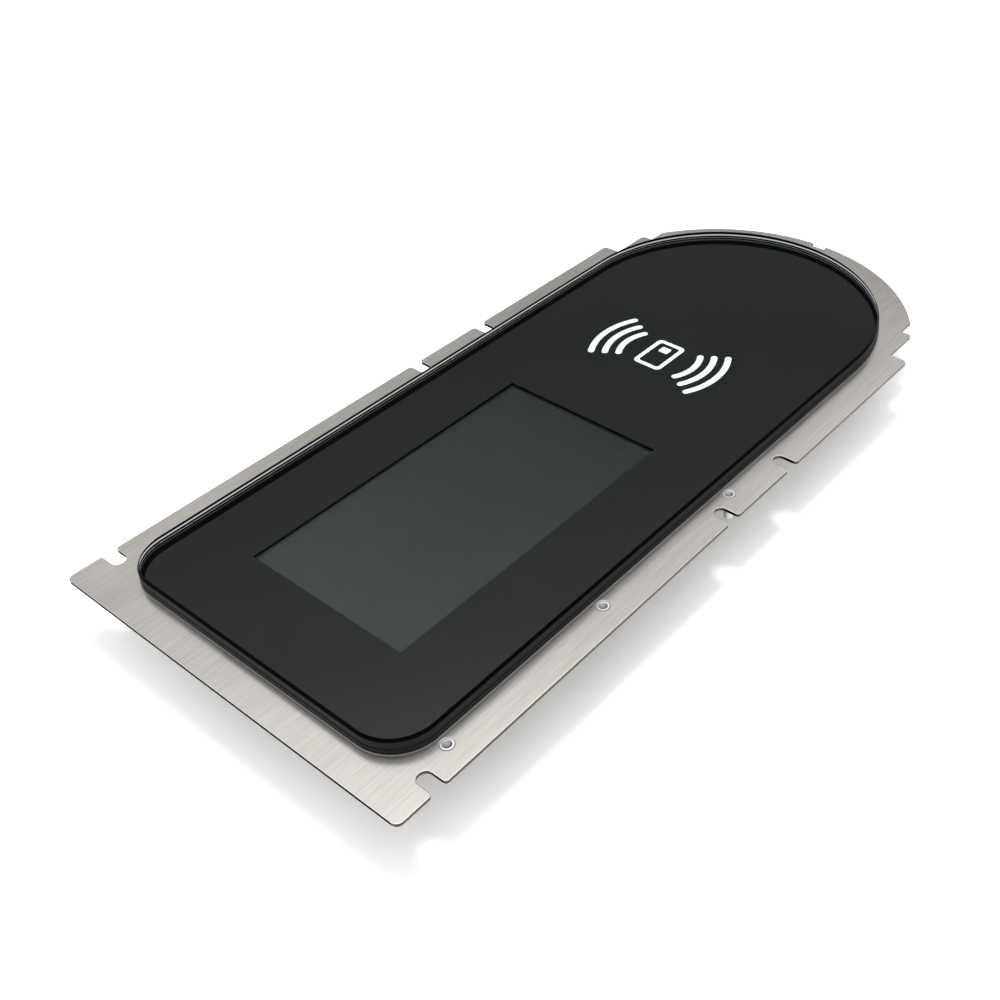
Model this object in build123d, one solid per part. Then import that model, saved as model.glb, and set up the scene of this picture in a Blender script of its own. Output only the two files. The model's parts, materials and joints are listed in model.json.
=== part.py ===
from build123d import *
import os
from math import cos, radians, sin, sqrt

# Front module of a ticket vending machine: a brushed stainless mounting plate that carries a raised
# black glass panel with a 7-inch portrait display and a contactless card reader, and behind the plate
# a moulded housing with the electronics.
# Millimetres. The module lies on its back: +Z is out of the glass, +Y runs up the module towards the
# arch, +X is across it. The model is drawn from the middle of the plate's bottom edge, and is shifted
# along Y as it is written, so that the origin lies under the middle of the plate on the housing's back.

# ---- mounting plate: 1.5 mm stainless sheet, laser cut ---------------------------------------------
PLATE_WIDTH = 192.0
PLATE_THICKNESS = 1.5
ARCH_CENTRE_Y = 318.0
ARCH_OVER = 1.7                # the arch's radius is half the plate's width and this much more
PLATE_CORNER = 3.0
LOW_LEDGE_RISE = 23.3          # from the arch centre up to the ledge at the side edge
LOW_LEDGE_INSET = 9.5          # how far that ledge steps in from the side edge
HIGH_LEDGE_RISE = 45.8
HIGH_LEDGE_INSET = 15.7
LEDGE_CORNER = 2.0
CREST_NOTCH_WIDTH = 8.3
CREST_NOTCH_DEPTH = 3.0
SIDE_NOTCH_Y = (19.4, 192.9, 237.9)
SIDE_NOTCH_WIDTH = 6.4
SIDE_NOTCH_DEPTH = 10.0
SIDE_NOTCH_MOUTH = 1.6         # radius of the notch's two outer corners

# ---- clinch studs: M4, pressed in from the front so that the head lies flush -----------------------
STUD_THREAD = 4.0
STUD_HEAD = 5.6
STUD_HEAD_DEPTH = 0.9
STUD_RIBS = 0.2                 # how far the ribs under the head stand out of the thread
STUD_LENGTH = 12.0
STUD_INSET = 11.3              # from the plate's side edge
STUD_FIRST_Y = 34.4
STUD_PITCH = 85.35
STUD_ROWS = 3
STUD_DISH = 3.9                # shallow dish that the press tool leaves in the head
STUD_DISH_DEPTH = 0.3
STUD_TIP = 0.5

# ---- raised black body: frame, tape and glass ------------------------------------------------------
BODY_WIDTH = 161.0
BODY_BOTTOM_Y = 14.7
BODY_ARCH_LIFT = 1.0           # its arch is centred this far above the plate's
BODY_CORNER = 20.0
FRAME_GASKET = 0.4
FRAME_HEIGHT = 2.6
FRAME_EDGE = 0.35              # chamfer round the frame's top edge
FRAME_SKIN = 0.4               # left above its blind tapped holes
FRAME_LAND = 28.5              # from the frame's outside to its opening
GASKET_SETBACK = 0.7
GLASS_GAP = 0.5                # between frame and glass: the print and the tape
TAPE_WIDTH = 9.0
TAPE_SETBACK = 1.4
GLASS_SETBACK = 0.2
GLASS_THICKNESS = 4.0
GLASS_CHAMFER = 1.1
PRINT_THICKNESS = 0.2
PRINT_SETBACK = 0.6            # from the glass edge to the edge of its print

# ---- display: 7-inch portrait panel ----------------------------------------------------------------
WINDOW_WIDTH = 85.92
WINDOW_LENGTH = 154.08
WINDOW_BOTTOM_Y = 52.4
TOUCH_WIDTH = 99.0
TOUCH_LENGTH = 167.0
TOUCH_THICKNESS = 0.7
LCD_GASKET = 0.5
GASKET_REVEAL = 1.0            # keeps the gasket out of sight beyond the window's edge
LCD_WIDTH = 97.0
LCD_LENGTH = 163.0
LCD_THICKNESS = 1.6
TRAY_WALL = 0.8
TRAY_DEPTH = 4.1
STRAP_WIDTH = 14.0
STRAP_GAUGE = 1.2
STRAP_FOOT = 8.0
STRAP_LEG_GAP = 1.5            # from the display's side to the strap's leg
STRAP_INSET = 28.0             # from the display's end to the strap's middle
STRAP_SCREW_LENGTH = 3.0

# ---- contactless mark: three arcs a side round a blank card ----------------------------------------
MARK_X = -1.5
MARK_DROP = 49.7               # from the plate's arch centre down to the mark
MARK_ARC_RADII = (20.3, 27.1, 34.0)
MARK_STROKE = 3.2
MARK_HALF_ANGLE = 31.0
MARK_CARD_WIDTH = 23.0
MARK_CARD_HEIGHT = 16.0
MARK_CARD_CORNER = 2.5
MARK_CARD_LINE = 2.2
MARK_CHIP = (5.3, 4.6)
MARK_CHIP_RISE = 4.6           # above the card's middle
MARK_CHIP_CORNER = 0.8

# ---- reader aerial ---------------------------------------------------------------------------------
AERIAL_WIDTH = 98.0
AERIAL_LENGTH = 84.0
AERIAL_THICKNESS = 1.0
AERIAL_TURNS = 3
TRACK_WIDTH = 1.4
TRACK_PITCH = 3.0
TRACK_THICKNESS = 0.1
TRACK_EDGE = 1.5               # from the board's edge to the outermost turn
TRACK_CORNER = 6.0
FERRITE_THICKNESS = 0.5
FERRITE_STRIP = 8.5            # strip of the board's lower edge that stays free for its connector
FERRITE_EDGE = 0.5
STACK_SIZE = (10.0, 2.5)       # stacking connector between the two boards
STACK_EDGE = 5.5

# ---- rear housing: moulded, 2.2 mm wall ------------------------------------------------------------
REAR_DEPTH = 28.0              # from the housing's flat back to the plate's back face
HOUSING_WIDTH = 128.0
HOUSING_BOTTOM_Y = 34.0
HOUSING_CORNER = 12.0
HOUSING_WALL = 2.2
HOUSING_BACK_EDGE = 2.0
FLANGE_WIDTH = 10.0
FLANGE_THICKNESS = 1.5
REAR_GASKET = 0.8
CUTOUT_MARGIN = 2.0            # the plate's cutout stops this far inside the housing's outside
SCREW_THREAD = 3.0
SCREW_LENGTH = 6.0
SCREW_HEAD = 5.6
SCREW_HEAD_HEIGHT = 2.0
SCREW_HEAD_ROUND = 0.8
RECESS_SPAN = 3.0
RECESS_SLOT = 0.6
RECESS_DEPTH = 1.1
SCREW_CLEARANCE = 0.2
TAPPED_CLEARANCE = 0.05
SCREW_SIDE_Y = (48.0, 108.0, 168.0)
SCREW_HATCH_GAP = 10.0         # from the card opening's ends to the screws above and below it
SCREW_END_X = 34.0
SCREW_ARCH_ANGLES = (45.0, 90.0, 135.0)
VENT_COUNT = 9
VENT_WIDTH = 2.4
VENT_LENGTH = 12.0
VENT_PITCH = 6.0
VENT_FIRST_Y = 92.0
VENT_Z = 15.0

# ---- boards ----------------------------------------------------------------------------------------
BOARD_THICKNESS = 1.6
BOARD_CORNER = 3.0
BOARD_HOLE_INSET = 5.0
BOSS_DIAMETER = 8.0
INSERT_DIAMETER = 4.6
INSERT_LENGTH = 5.0
MAIN_WIDTH = 104.0
MAIN_LENGTH = 140.0
MAIN_BOTTOM_Y = 38.6
MAIN_Z = 8.0
READER_WIDTH = 100.0
READER_LENGTH = 72.0
READER_Z = 18.0
SHIELD_X = -14.0
SHIELD_RISE = 6.0              # above the mark's centre
SHIELD_WIDTH = 46.0
SHIELD_LENGTH = 40.0
SHIELD_HEIGHT = 3.4
SHIELD_SHEET = 0.4
SHIELD_CORNER = 1.0
READER_CHIP = (9.0, 9.0, 1.0)
SAM_WIDTH = 18.0
SAM_LENGTH = 24.0
SAM_HEIGHT = 2.6
SAM_PITCH = 24.0
SAM_BACK = 2.0                 # wall behind the end of the card's slot
SAM_OVERHANG = 1.0             # past the board's edge
CARD_WIDTH = 15.0
CARD_LENGTH = 25.0
CARD_THICKNESS = 0.8
CARD_CORNER = 1.0
SEAT = 0.05                    # play round a part that is pushed or laid in
PROCESSOR_Y = 130.0
PROCESSOR = (16.0, 16.0, 1.4)
HEAT_SINK_SIDE = 30.0
HEAT_SINK_BASE = 2.0
FIN_HEIGHT = 6.0
FIN_THICKNESS = 1.2
FIN_PITCH = 4.0
FIN_COUNT = 8
MEMORY_CHIP = (8.0, 12.0, 1.1)
MEMORY_X = 28.0
CAPACITOR_DIAMETER = 8.0
CAPACITOR_HEIGHT = 9.5
CAPACITOR_Y = 78.0
CAPACITOR_X = (-38.0, -27.0, -16.0)
BATTERY_X = 34.0
BATTERY_Y = 96.0
BATTERY_DIAMETER = 20.0
BATTERY_HEIGHT = 3.2
HOLDER_WALL = 2.0
HOLDER_FLOOR = 1.0
HOLDER_HEIGHT = 4.6
HOLDER_CLIP = (8.0, 4.0)
RIBBON_THICKNESS = 0.3
RIBBON_BEND = 1.5
RIBBON_START_Y = 66.0
RIBBON_DROP_Y = 50.0
RIBBON_CONNECTOR_Y = 58.0
RIBBON_CONNECTOR = (5.0, 2.4)  # length and height
RIBBON_SLOT = (3.0, 0.6, 0.9)  # depth, height and height above the board
DISPLAY_RIBBON_X = 8.0
DISPLAY_RIBBON_WIDTH = 20.0
TOUCH_RIBBON_X = -24.0
TOUCH_RIBBON_WIDTH = 8.0

# ---- sockets in the housing's lower end ------------------------------------------------------------
NETWORK_X = 30.0
NETWORK_SIZE = (16.0, 21.0, 13.4)
NETWORK_MOUTH = (11.7, 14.0, 7.6)
NETWORK_SILL = 4.0             # from the board up to the mouth
NETWORK_LATCH = (6.0, 2.0)     # groove under the mouth for the plug's latch
POWER_X = 4.0
DATA_X = -16.0
HEADER_POLES = 4
HEADER_PITCH = 3.81
HEADER_HEIGHT = 8.6
HEADER_DEPTH = 9.2
HEADER_WALL = 1.0
HEADER_BACK = 1.5
HEADER_PIN_SETBACK = 2.0       # from the header's mouth to its pins' tips
HEADER_PIN = 1.0
SOCKET_PLAY = 0.3
SOCKET_PROUD = 0.6
RESET_X = -32.0
RESET_BUTTON = 3.0
RESET_TRAVEL = 0.3
RESET_PROUD = 1.0
RESET_BODY = (6.2, 4.4, 5.0)
RESET_SETBACK = 0.4            # from the board's edge
RESET_DEPTH = 2.4              # how far the button reaches into the switch
END_PLAY = 0.3                 # left behind a plunger that is pressed all the way
TAMPER_X = -46.0
TAMPER_PLUNGER = 5.0
TAMPER_TRAVEL = 3.0
TAMPER_PROUD = 5.0
TAMPER_BARREL = 10.0
TAMPER_FLANGE = 13.0
TAMPER_FLANGE_THICKNESS = 1.5
TAMPER_LENGTH = 18.0
TAMPER_BORE = 12.5
TAMPER_NUT = 14.0              # across the nut's corners
TAMPER_NUT_THICKNESS = 3.0
TAMPER_Z = 17.0
RUNNING = 0.08                 # radial play of a plunger in its bore

# ---- access hatch for the security cards, in the housing's right side ------------------------------
HATCH_OPENING = 56.0
HATCH_OPENING_Z = (9.4, 23.8)
HATCH_LAP = 3.0
HATCH_THICKNESS = 2.0
HATCH_GAP = 0.3
HATCH_TOP_Z = 24.6
HATCH_RIM = 1.5
HATCH_RIM_DEPTH = 1.8
HATCH_RIM_PLAY = 0.6
HATCH_LIP = (1.4, 18.0, 1.6)   # finger lip: depth, length and height
HINGE_RADIUS = 2.2
HINGE_Z = 6.5
HINGE_LUG = 5.0
HINGE_PIN = 2.0
HINGE_PLAY = 0.05

# ---- loudspeaker, under the arch -------------------------------------------------------------------
SPEAKER_LIFT = 28.0            # above the plate's arch centre
SPEAKER_DIAMETER = 36.0
SPEAKER_RIM = 2.0
SPEAKER_STEP = 5.0             # from the rim's edge in to the basket's
SPEAKER_BASKET = 2.5
SPEAKER_MAGNET = 3.5
SPEAKER_CONE = 2.5
GRILLE_SLOT = 2.0
GRILLE_PITCH = 5.0

# ---- heights and outlines that follow from those values --------------------------------------------
plate_half = PLATE_WIDTH / 2
arch_radius = plate_half + ARCH_OVER
crest_y = ARCH_CENTRE_Y + arch_radius
plate_length = ARCH_CENTRE_Y + sqrt(arch_radius**2 - CREST_NOTCH_WIDTH**2 / 4)
body_arch_y = ARCH_CENTRE_Y + BODY_ARCH_LIFT
mark_y = ARCH_CENTRE_Y - MARK_DROP
speaker_y = ARCH_CENTRE_Y + SPEAKER_LIFT
plate_front = REAR_DEPTH + PLATE_THICKNESS
frame_bottom = plate_front + FRAME_GASKET
frame_top = frame_bottom + FRAME_HEIGHT
glass_bottom = frame_top + GLASS_GAP
print_bottom = glass_bottom - PRINT_THICKNESS
touch_bottom = print_bottom - TOUCH_THICKNESS
lcd_top = touch_bottom - LCD_GASKET
tray_bottom = lcd_top - LCD_THICKNESS - TRAY_DEPTH
flange_top = REAR_DEPTH - REAR_GASKET
flange_bottom = flange_top - FLANGE_THICKNESS
body_half = BODY_WIDTH / 2
housing_half = HOUSING_WIDTH / 2
window_centre_y = WINDOW_BOTTOM_Y + WINDOW_LENGTH / 2
main_top = MAIN_Z + BOARD_THICKNESS
main_centre_y = MAIN_BOTTOM_Y + MAIN_LENGTH / 2
reader_top = READER_Z + BOARD_THICKNESS
housing_inside_y = HOUSING_BOTTOM_Y + HOUSING_WALL
screw_line = housing_half + FLANGE_WIDTH / 2
hinge_x = housing_half + HATCH_GAP + HINGE_RADIUS


# ---- helpers ---------------------------------------------------------------------------------------
def arch(half_width, bottom_y, centre_y, corner):
    """A flat outline: straight sides, rounded lower corners and a half-round top."""
    left = [(-half_width, centre_y), (-half_width, bottom_y)]
    right = [(half_width, bottom_y), (half_width, centre_y)]
    sides = Polyline(*left, *right)
    crown = ThreePointArc(right[1], (0, centre_y + half_width), left[0])
    face = make_face(sides + crown)
    return fillet(face.vertices().sort_by(Axis.Y)[:2], corner)


def body_arch(inset):
    """The raised body's outline, drawn in by inset all round."""
    corner = max(BODY_CORNER - inset, 2.0)
    return arch(body_half - inset, BODY_BOTTOM_Y + inset, body_arch_y, corner)


def housing_arch(inset):
    """The rear housing's outline, drawn in by inset all round; a negative inset grows it."""
    corner = max(HOUSING_CORNER - inset, 2.0)
    return arch(housing_half - inset, HOUSING_BOTTOM_Y + inset, body_arch_y, corner)


def slab(face, bottom, height):
    """A flat outline raised to a solid that stands on the height bottom."""
    return Pos(0, 0, bottom) * extrude(face, height)


def block(x, y, z, width, length, height):
    """A box centred on x and y that stands on z."""
    return Pos(x, y, z + height / 2) * Box(width, length, height)


def rod(x, y, z, radius, height):
    """An upright cylinder that stands on z."""
    return Pos(x, y, z + height / 2) * Cylinder(radius, height)


def rod_y(x, y, z, radius, length):
    """A cylinder along Y that starts at y."""
    return Pos(x, y + length / 2, z) * Rot(90, 0, 0) * Cylinder(radius, length)


def group(shapes):
    """Separate solids that share one node."""
    return Compound([solid for shape in shapes for solid in shape.solids()])


def joined(shapes):
    """One solid from shapes that touch or overlap."""
    result = None
    for shape in shapes:
        result = shape if result is None else result + shape
    return result


def cut_all(shape, tools):
    for tool in tools:
        shape = shape - tool
    return shape


def both_sides(points):
    """Each (x, y) and its mirror image across the centre line."""
    return [(side * x, y) for side in (-1, 1) for x, y in points]


# ---- places of what repeats ------------------------------------------------------------------------
stud_rows = [STUD_FIRST_Y + row * STUD_PITCH for row in range(STUD_ROWS)]
stud_places = both_sides([(plate_half - STUD_INSET, y) for y in stud_rows])

screw_hatch_y = HATCH_OPENING / 2 + SCREW_HATCH_GAP + SCREW_HEAD / 2
screw_places = (
    both_sides([(screw_line, y) for y in (*SCREW_SIDE_Y, mark_y - screw_hatch_y, mark_y + screw_hatch_y)])
    + both_sides([(SCREW_END_X, HOUSING_BOTTOM_Y - FLANGE_WIDTH / 2)])
    + [
        (screw_line * cos(radians(a)), body_arch_y + screw_line * sin(radians(a)))
        for a in SCREW_ARCH_ANGLES
    ]
)


def board_corners(width, length, centre_y):
    """The four fixing holes of a board, each the same distance in from both its edges."""
    x = width / 2 - BOARD_HOLE_INSET
    y = length / 2 - BOARD_HOLE_INSET
    return [(sx * x, centre_y + sy * y) for sx in (-1, 1) for sy in (-1, 1)]


main_holes = board_corners(MAIN_WIDTH, MAIN_LENGTH, main_centre_y)
reader_holes = board_corners(READER_WIDTH, READER_LENGTH, mark_y)
boss_places = [(x, y, MAIN_Z) for x, y in main_holes] + [(x, y, READER_Z) for x, y in reader_holes]

# the display straps: legs just outside the display, feet out under the frame's land
strap_leg_x = TOUCH_WIDTH / 2 + STRAP_LEG_GAP
strap_hole_x = strap_leg_x + STRAP_GAUGE + STRAP_FOOT / 2
strap_rows = (
    window_centre_y - TOUCH_LENGTH / 2 + STRAP_INSET,
    window_centre_y + TOUCH_LENGTH / 2 - STRAP_INSET,
)
strap_seat = frame_bottom - STRAP_GAUGE
strap_holes = both_sides([(strap_hole_x, y) for y in strap_rows])


# ---- plate and studs -------------------------------------------------------------------------------
def plate_outline():
    half = plate_half
    low_x = half - LOW_LEDGE_INSET
    high_x = half - HIGH_LEDGE_INSET
    low_y = ARCH_CENTRE_Y + LOW_LEDGE_RISE
    high_y = ARCH_CENTRE_Y + HIGH_LEDGE_RISE
    crown_y = ARCH_CENTRE_Y + sqrt(arch_radius**2 - high_x**2)
    right = [(half, 0), (half, low_y), (low_x, low_y), (low_x, high_y), (high_x, high_y), (high_x, crown_y)]
    left = [(-x, y) for x, y in reversed(right)]
    crown = ThreePointArc(right[-1], (0, crest_y), left[0])
    face = make_face(Polyline(*left, *right) + crown)
    feet = [v for v in face.vertices() if v.Y < 1]
    face = fillet(feet, PLATE_CORNER)
    tips = [
        v
        for v in face.vertices()
        if any(abs(abs(v.X) - x) + abs(v.Y - y) < 0.1 for x, y in ((half, low_y), (low_x, high_y)))
    ]
    return fillet(tips, LEDGE_CORNER)


def side_notches(face):
    """U-shaped notches in both long edges, with eased outer corners."""
    half = plate_half
    radius = SIDE_NOTCH_WIDTH / 2
    for x, y in both_sides([(half, y) for y in SIDE_NOTCH_Y]):
        inward = -1 if x > 0 else 1
        round_x = x + inward * (SIDE_NOTCH_DEPTH - radius)
        face = face - Pos((x + round_x) / 2, y) * Rectangle(abs(x - round_x), SIDE_NOTCH_WIDTH)
        face = face - Pos(round_x, y) * Circle(radius)
    mouths = [
        v
        for v in face.vertices()
        if abs(abs(v.X) - half) < 0.01 and any(abs(abs(v.Y - y) - radius) < 0.01 for y in SIDE_NOTCH_Y)
    ]
    return fillet(mouths, SIDE_NOTCH_MOUTH)


def mounting_plate():
    face = side_notches(plate_outline())
    notch = Rectangle(CREST_NOTCH_WIDTH, 2 * CREST_NOTCH_DEPTH)
    face = face - Pos(0, crest_y) * notch
    plate = slab(face - housing_arch(CUTOUT_MARGIN), REAR_DEPTH, PLATE_THICKNESS)
    hole = SCREW_THREAD / 2 + SCREW_CLEARANCE
    plate = cut_all(plate, [rod(x, y, REAR_DEPTH, hole, PLATE_THICKNESS) for x, y in screw_places])
    return cut_all(plate, [stud_seat(x, y) for x, y in stud_places])


def stud_seat(x, y):
    """The room that one stud's head and ribbed neck take in the plate."""
    neck = rod(x, y, REAR_DEPTH, STUD_THREAD / 2 + STUD_RIBS, PLATE_THICKNESS)
    return neck + rod(x, y, plate_front - STUD_HEAD_DEPTH, STUD_HEAD / 2, STUD_HEAD_DEPTH)


def clinch_stud(x, y):
    shank = rod(x, y, REAR_DEPTH - STUD_LENGTH, STUD_THREAD / 2, STUD_LENGTH)
    tip = shank.faces().sort_by(Axis.Z)[0].edges()
    stud = chamfer(tip, STUD_TIP) + stud_seat(x, y)
    bowl_radius = (STUD_DISH**2 / 4 + STUD_DISH_DEPTH**2) / (2 * STUD_DISH_DEPTH)
    bowl = Pos(x, y, plate_front + bowl_radius - STUD_DISH_DEPTH) * Sphere(bowl_radius)
    return stud - bowl


# ---- front frame, its gasket and the glass ---------------------------------------------------------
def front_frame():
    ring = slab(body_arch(0), frame_bottom, FRAME_HEIGHT)
    ring = chamfer(ring.faces().sort_by(Axis.Z)[-1].edges(), FRAME_EDGE)
    ring = ring - slab(body_arch(FRAME_LAND), frame_bottom, FRAME_HEIGHT)
    tapped = SCREW_THREAD / 2 + TAPPED_CLEARANCE
    depth = FRAME_HEIGHT - FRAME_SKIN
    return cut_all(ring, [rod(x, y, frame_bottom, tapped, depth) for x, y in screw_places + strap_holes])


def frame_gasket():
    face = body_arch(GASKET_SETBACK) - housing_arch(CUTOUT_MARGIN)
    gasket = slab(face, plate_front, FRAME_GASKET)
    hole = SCREW_THREAD / 2 + SCREW_CLEARANCE
    return cut_all(gasket, [rod(x, y, plate_front, hole, FRAME_GASKET) for x, y in screw_places])


def glass_tape():
    face = body_arch(TAPE_SETBACK) - body_arch(TAPE_SETBACK + TAPE_WIDTH)
    return slab(face, frame_top, GLASS_GAP - PRINT_THICKNESS)


def cover_glass():
    glass = slab(body_arch(GLASS_SETBACK), glass_bottom, GLASS_THICKNESS)
    return chamfer(glass.faces().sort_by(Axis.Z)[-1].edges(), GLASS_CHAMFER)


def window_face():
    return Pos(0, window_centre_y) * Rectangle(WINDOW_WIDTH, WINDOW_LENGTH)


def mark_arc(radius, side):
    """One arc of the contactless mark, with round ends."""
    start = 0 if side > 0 else 180
    path = CenterArc((MARK_X, mark_y), radius, start - MARK_HALF_ANGLE, 2 * MARK_HALF_ANGLE)
    ring = Circle(radius + MARK_STROKE / 2) - Circle(radius - MARK_STROKE / 2)
    reach = 2 * radius
    half = MARK_HALF_ANGLE
    corners = [(0, 0)]
    for angle in (start - half, start + half):
        corners.append((reach * cos(radians(angle)), reach * sin(radians(angle))))
    sector = make_face(Polyline(*corners, close=True))
    face = Pos(MARK_X, mark_y) * (ring & sector)
    for end in (path @ 0, path @ 1):
        face = face + Pos(end.X, end.Y) * Circle(MARK_STROKE / 2)
    return face


def mark_card():
    """A blank card in outline, with the block of its chip."""
    width = MARK_CARD_WIDTH
    height = MARK_CARD_HEIGHT
    line = MARK_CARD_LINE
    rim = RectangleRounded(height, width, MARK_CARD_CORNER)
    inside = RectangleRounded(height - 2 * line, width - 2 * line, MARK_CARD_CORNER - line / 2)
    chip = Pos(0, MARK_CHIP_RISE) * RectangleRounded(*MARK_CHIP, MARK_CHIP_CORNER)
    return [Pos(MARK_X, mark_y) * (rim - inside), Pos(MARK_X, mark_y) * chip]


mark_faces = [mark_arc(radius, side) for side in (-1, 1) for radius in MARK_ARC_RADII] + mark_card()


def glass_print():
    """Black ceramic print under the glass, left open for the display and for the white mark."""
    face = body_arch(GLASS_SETBACK + PRINT_SETBACK) - window_face()
    for mark in mark_faces:
        face = face - mark
    return slab(face, print_bottom, PRINT_THICKNESS)


def contactless_mark():
    return group([slab(face, print_bottom, PRINT_THICKNESS) for face in mark_faces])


# ---- display stack ---------------------------------------------------------------------------------
def optical_bond():
    return slab(window_face(), print_bottom, PRINT_THICKNESS)


def touch_sensor():
    return block(0, window_centre_y, touch_bottom, TOUCH_WIDTH, TOUCH_LENGTH, TOUCH_THICKNESS)


def lcd_gasket():
    outer = block(0, window_centre_y, lcd_top, TOUCH_WIDTH, TOUCH_LENGTH, LCD_GASKET)
    width = WINDOW_WIDTH + 2 * GASKET_REVEAL
    length = WINDOW_LENGTH + 2 * GASKET_REVEAL
    inner = block(0, window_centre_y, lcd_top, width, length, LCD_GASKET)
    return outer - inner


def lcd_cell():
    return block(0, window_centre_y, lcd_top - LCD_THICKNESS, LCD_WIDTH, LCD_LENGTH, LCD_THICKNESS)


def backlight_tray():
    """Folded steel tray behind the cell: closed back, four walls up round the cell."""
    height = TRAY_DEPTH + LCD_THICKNESS
    outer = block(0, window_centre_y, tray_bottom, TOUCH_WIDTH, TOUCH_LENGTH, height)
    outer = fillet(outer.edges().filter_by(Axis.Z), 1.0)
    inner_width = LCD_WIDTH + 2 * SEAT
    inner_length = LCD_LENGTH + 2 * SEAT
    return outer - block(0, window_centre_y, tray_bottom + TRAY_WALL, inner_width, inner_length, height)


def light_guide():
    depth = TRAY_DEPTH - TRAY_WALL
    return block(0, window_centre_y, tray_bottom + TRAY_WALL, LCD_WIDTH, LCD_LENGTH, depth)


def display_strap(y):
    """Folded steel strap: flat behind the display, legs up its sides, feet out to the frame."""
    leg = strap_leg_x
    low = tray_bottom - STRAP_GAUGE
    foot_top = frame_bottom
    width = 2 * (leg + STRAP_GAUGE)
    strap = block(0, y, low, width, STRAP_WIDTH, STRAP_GAUGE)
    for side in (-1, 1):
        leg_x = side * (leg + STRAP_GAUGE / 2)
        strap = strap + block(leg_x, y, low, STRAP_GAUGE, STRAP_WIDTH, foot_top - low)
        foot_x = side * (leg + (STRAP_GAUGE + STRAP_FOOT) / 2)
        foot_width = STRAP_GAUGE + STRAP_FOOT
        strap = strap + block(foot_x, y, foot_top - STRAP_GAUGE, foot_width, STRAP_WIDTH, STRAP_GAUGE)
        hole = SCREW_THREAD / 2 + SCREW_CLEARANCE
        strap = strap - rod(side * strap_hole_x, y, foot_top - STRAP_GAUGE, hole, STRAP_GAUGE)
    return strap


def screw_head(x, y, low, outer_face):
    """Pan head that stands on z = low, its rounded face and cross recess up (1) or down (-1)."""
    head = rod(x, y, low, SCREW_HEAD / 2, SCREW_HEAD_HEIGHT)
    faces = head.faces().sort_by(Axis.Z)
    head = fillet((faces[-1] if outer_face > 0 else faces[0]).edges(), SCREW_HEAD_ROUND)
    recess_z = low if outer_face < 0 else low + SCREW_HEAD_HEIGHT - RECESS_DEPTH
    for width, length in ((RECESS_SPAN, RECESS_SLOT), (RECESS_SLOT, RECESS_SPAN)):
        head = head - block(x, y, recess_z, width, length, RECESS_DEPTH)
    return head


def screw_up(x, y, seat_z, length):
    """Pan-head screw driven upwards against a face at seat_z."""
    head = screw_head(x, y, seat_z - SCREW_HEAD_HEIGHT, -1)
    return head + rod(x, y, seat_z, SCREW_THREAD / 2, length)


def screw_down(x, y, seat_z, length):
    """The same screw driven downwards on to a face at seat_z."""
    return screw_head(x, y, seat_z, 1) + rod(x, y, seat_z - length, SCREW_THREAD / 2, length)


# ---- reader ----------------------------------------------------------------------------------------
def aerial_board():
    face = Pos(0, mark_y) * RectangleRounded(AERIAL_WIDTH, AERIAL_LENGTH, BOARD_CORNER)
    return slab(face, print_bottom - AERIAL_THICKNESS, AERIAL_THICKNESS)


def aerial_coil():
    """Printed copper turns round the edge of the aerial board's underside."""
    turns = []
    for turn in range(AERIAL_TURNS):
        inset = TRACK_EDGE + turn * TRACK_PITCH
        corner = TRACK_CORNER - turn
        outer = RectangleRounded(AERIAL_WIDTH - 2 * inset, AERIAL_LENGTH - 2 * inset, corner)
        inset = inset + TRACK_WIDTH
        inner = RectangleRounded(AERIAL_WIDTH - 2 * inset, AERIAL_LENGTH - 2 * inset, corner - 1)
        bottom = print_bottom - AERIAL_THICKNESS - TRACK_THICKNESS
        turns.append(slab(Pos(0, mark_y) * (outer - inner), bottom, TRACK_THICKNESS))
    return group(turns)


def ferrite_sheet():
    top = print_bottom - AERIAL_THICKNESS - TRACK_THICKNESS
    length = AERIAL_LENGTH - FERRITE_STRIP - FERRITE_EDGE
    centre_y = mark_y + (FERRITE_STRIP - FERRITE_EDGE) / 2
    face = Pos(0, centre_y) * Rectangle(AERIAL_WIDTH, length)
    return slab(face, top - FERRITE_THICKNESS, FERRITE_THICKNESS)


def aerial_header():
    """Stacking connector from the reader board up to the aerial board's free strip."""
    height = print_bottom - AERIAL_THICKNESS - TRACK_THICKNESS - reader_top
    y = mark_y - AERIAL_LENGTH / 2 + STACK_EDGE
    return block(0, y, reader_top, *STACK_SIZE, height)


def board(width, length, centre_y, bottom, holes):
    face = Pos(0, centre_y) * RectangleRounded(width, length, BOARD_CORNER)
    plain = slab(face, bottom, BOARD_THICKNESS)
    hole = SCREW_THREAD / 2 + SCREW_CLEARANCE
    return cut_all(plain, [rod(x, y, bottom, hole, BOARD_THICKNESS) for x, y in holes])


def reader_shield():
    """Folded tin-plate can over the reader's radio circuits."""
    y = mark_y + SHIELD_RISE
    can = block(SHIELD_X, y, reader_top, SHIELD_WIDTH, SHIELD_LENGTH, SHIELD_HEIGHT)
    can = fillet(can.edges().filter_by(Axis.Z), SHIELD_CORNER)
    hollow_width = SHIELD_WIDTH - 2 * SHIELD_SHEET
    hollow_length = SHIELD_LENGTH - 2 * SHIELD_SHEET
    return can - block(SHIELD_X, y, reader_top, hollow_width, hollow_length, SHIELD_HEIGHT - SHIELD_SHEET)


def reader_chip():
    return block(SHIELD_X, mark_y + SHIELD_RISE, reader_top, *READER_CHIP)


sam_places = [mark_y - SAM_PITCH / 2, mark_y + SAM_PITCH / 2]
sam_mouth_x = READER_WIDTH / 2 + SAM_OVERHANG
sam_slot_length = SAM_LENGTH - SAM_BACK
card_z = READER_Z - SAM_HEIGHT / 2 - CARD_THICKNESS / 2


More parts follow.
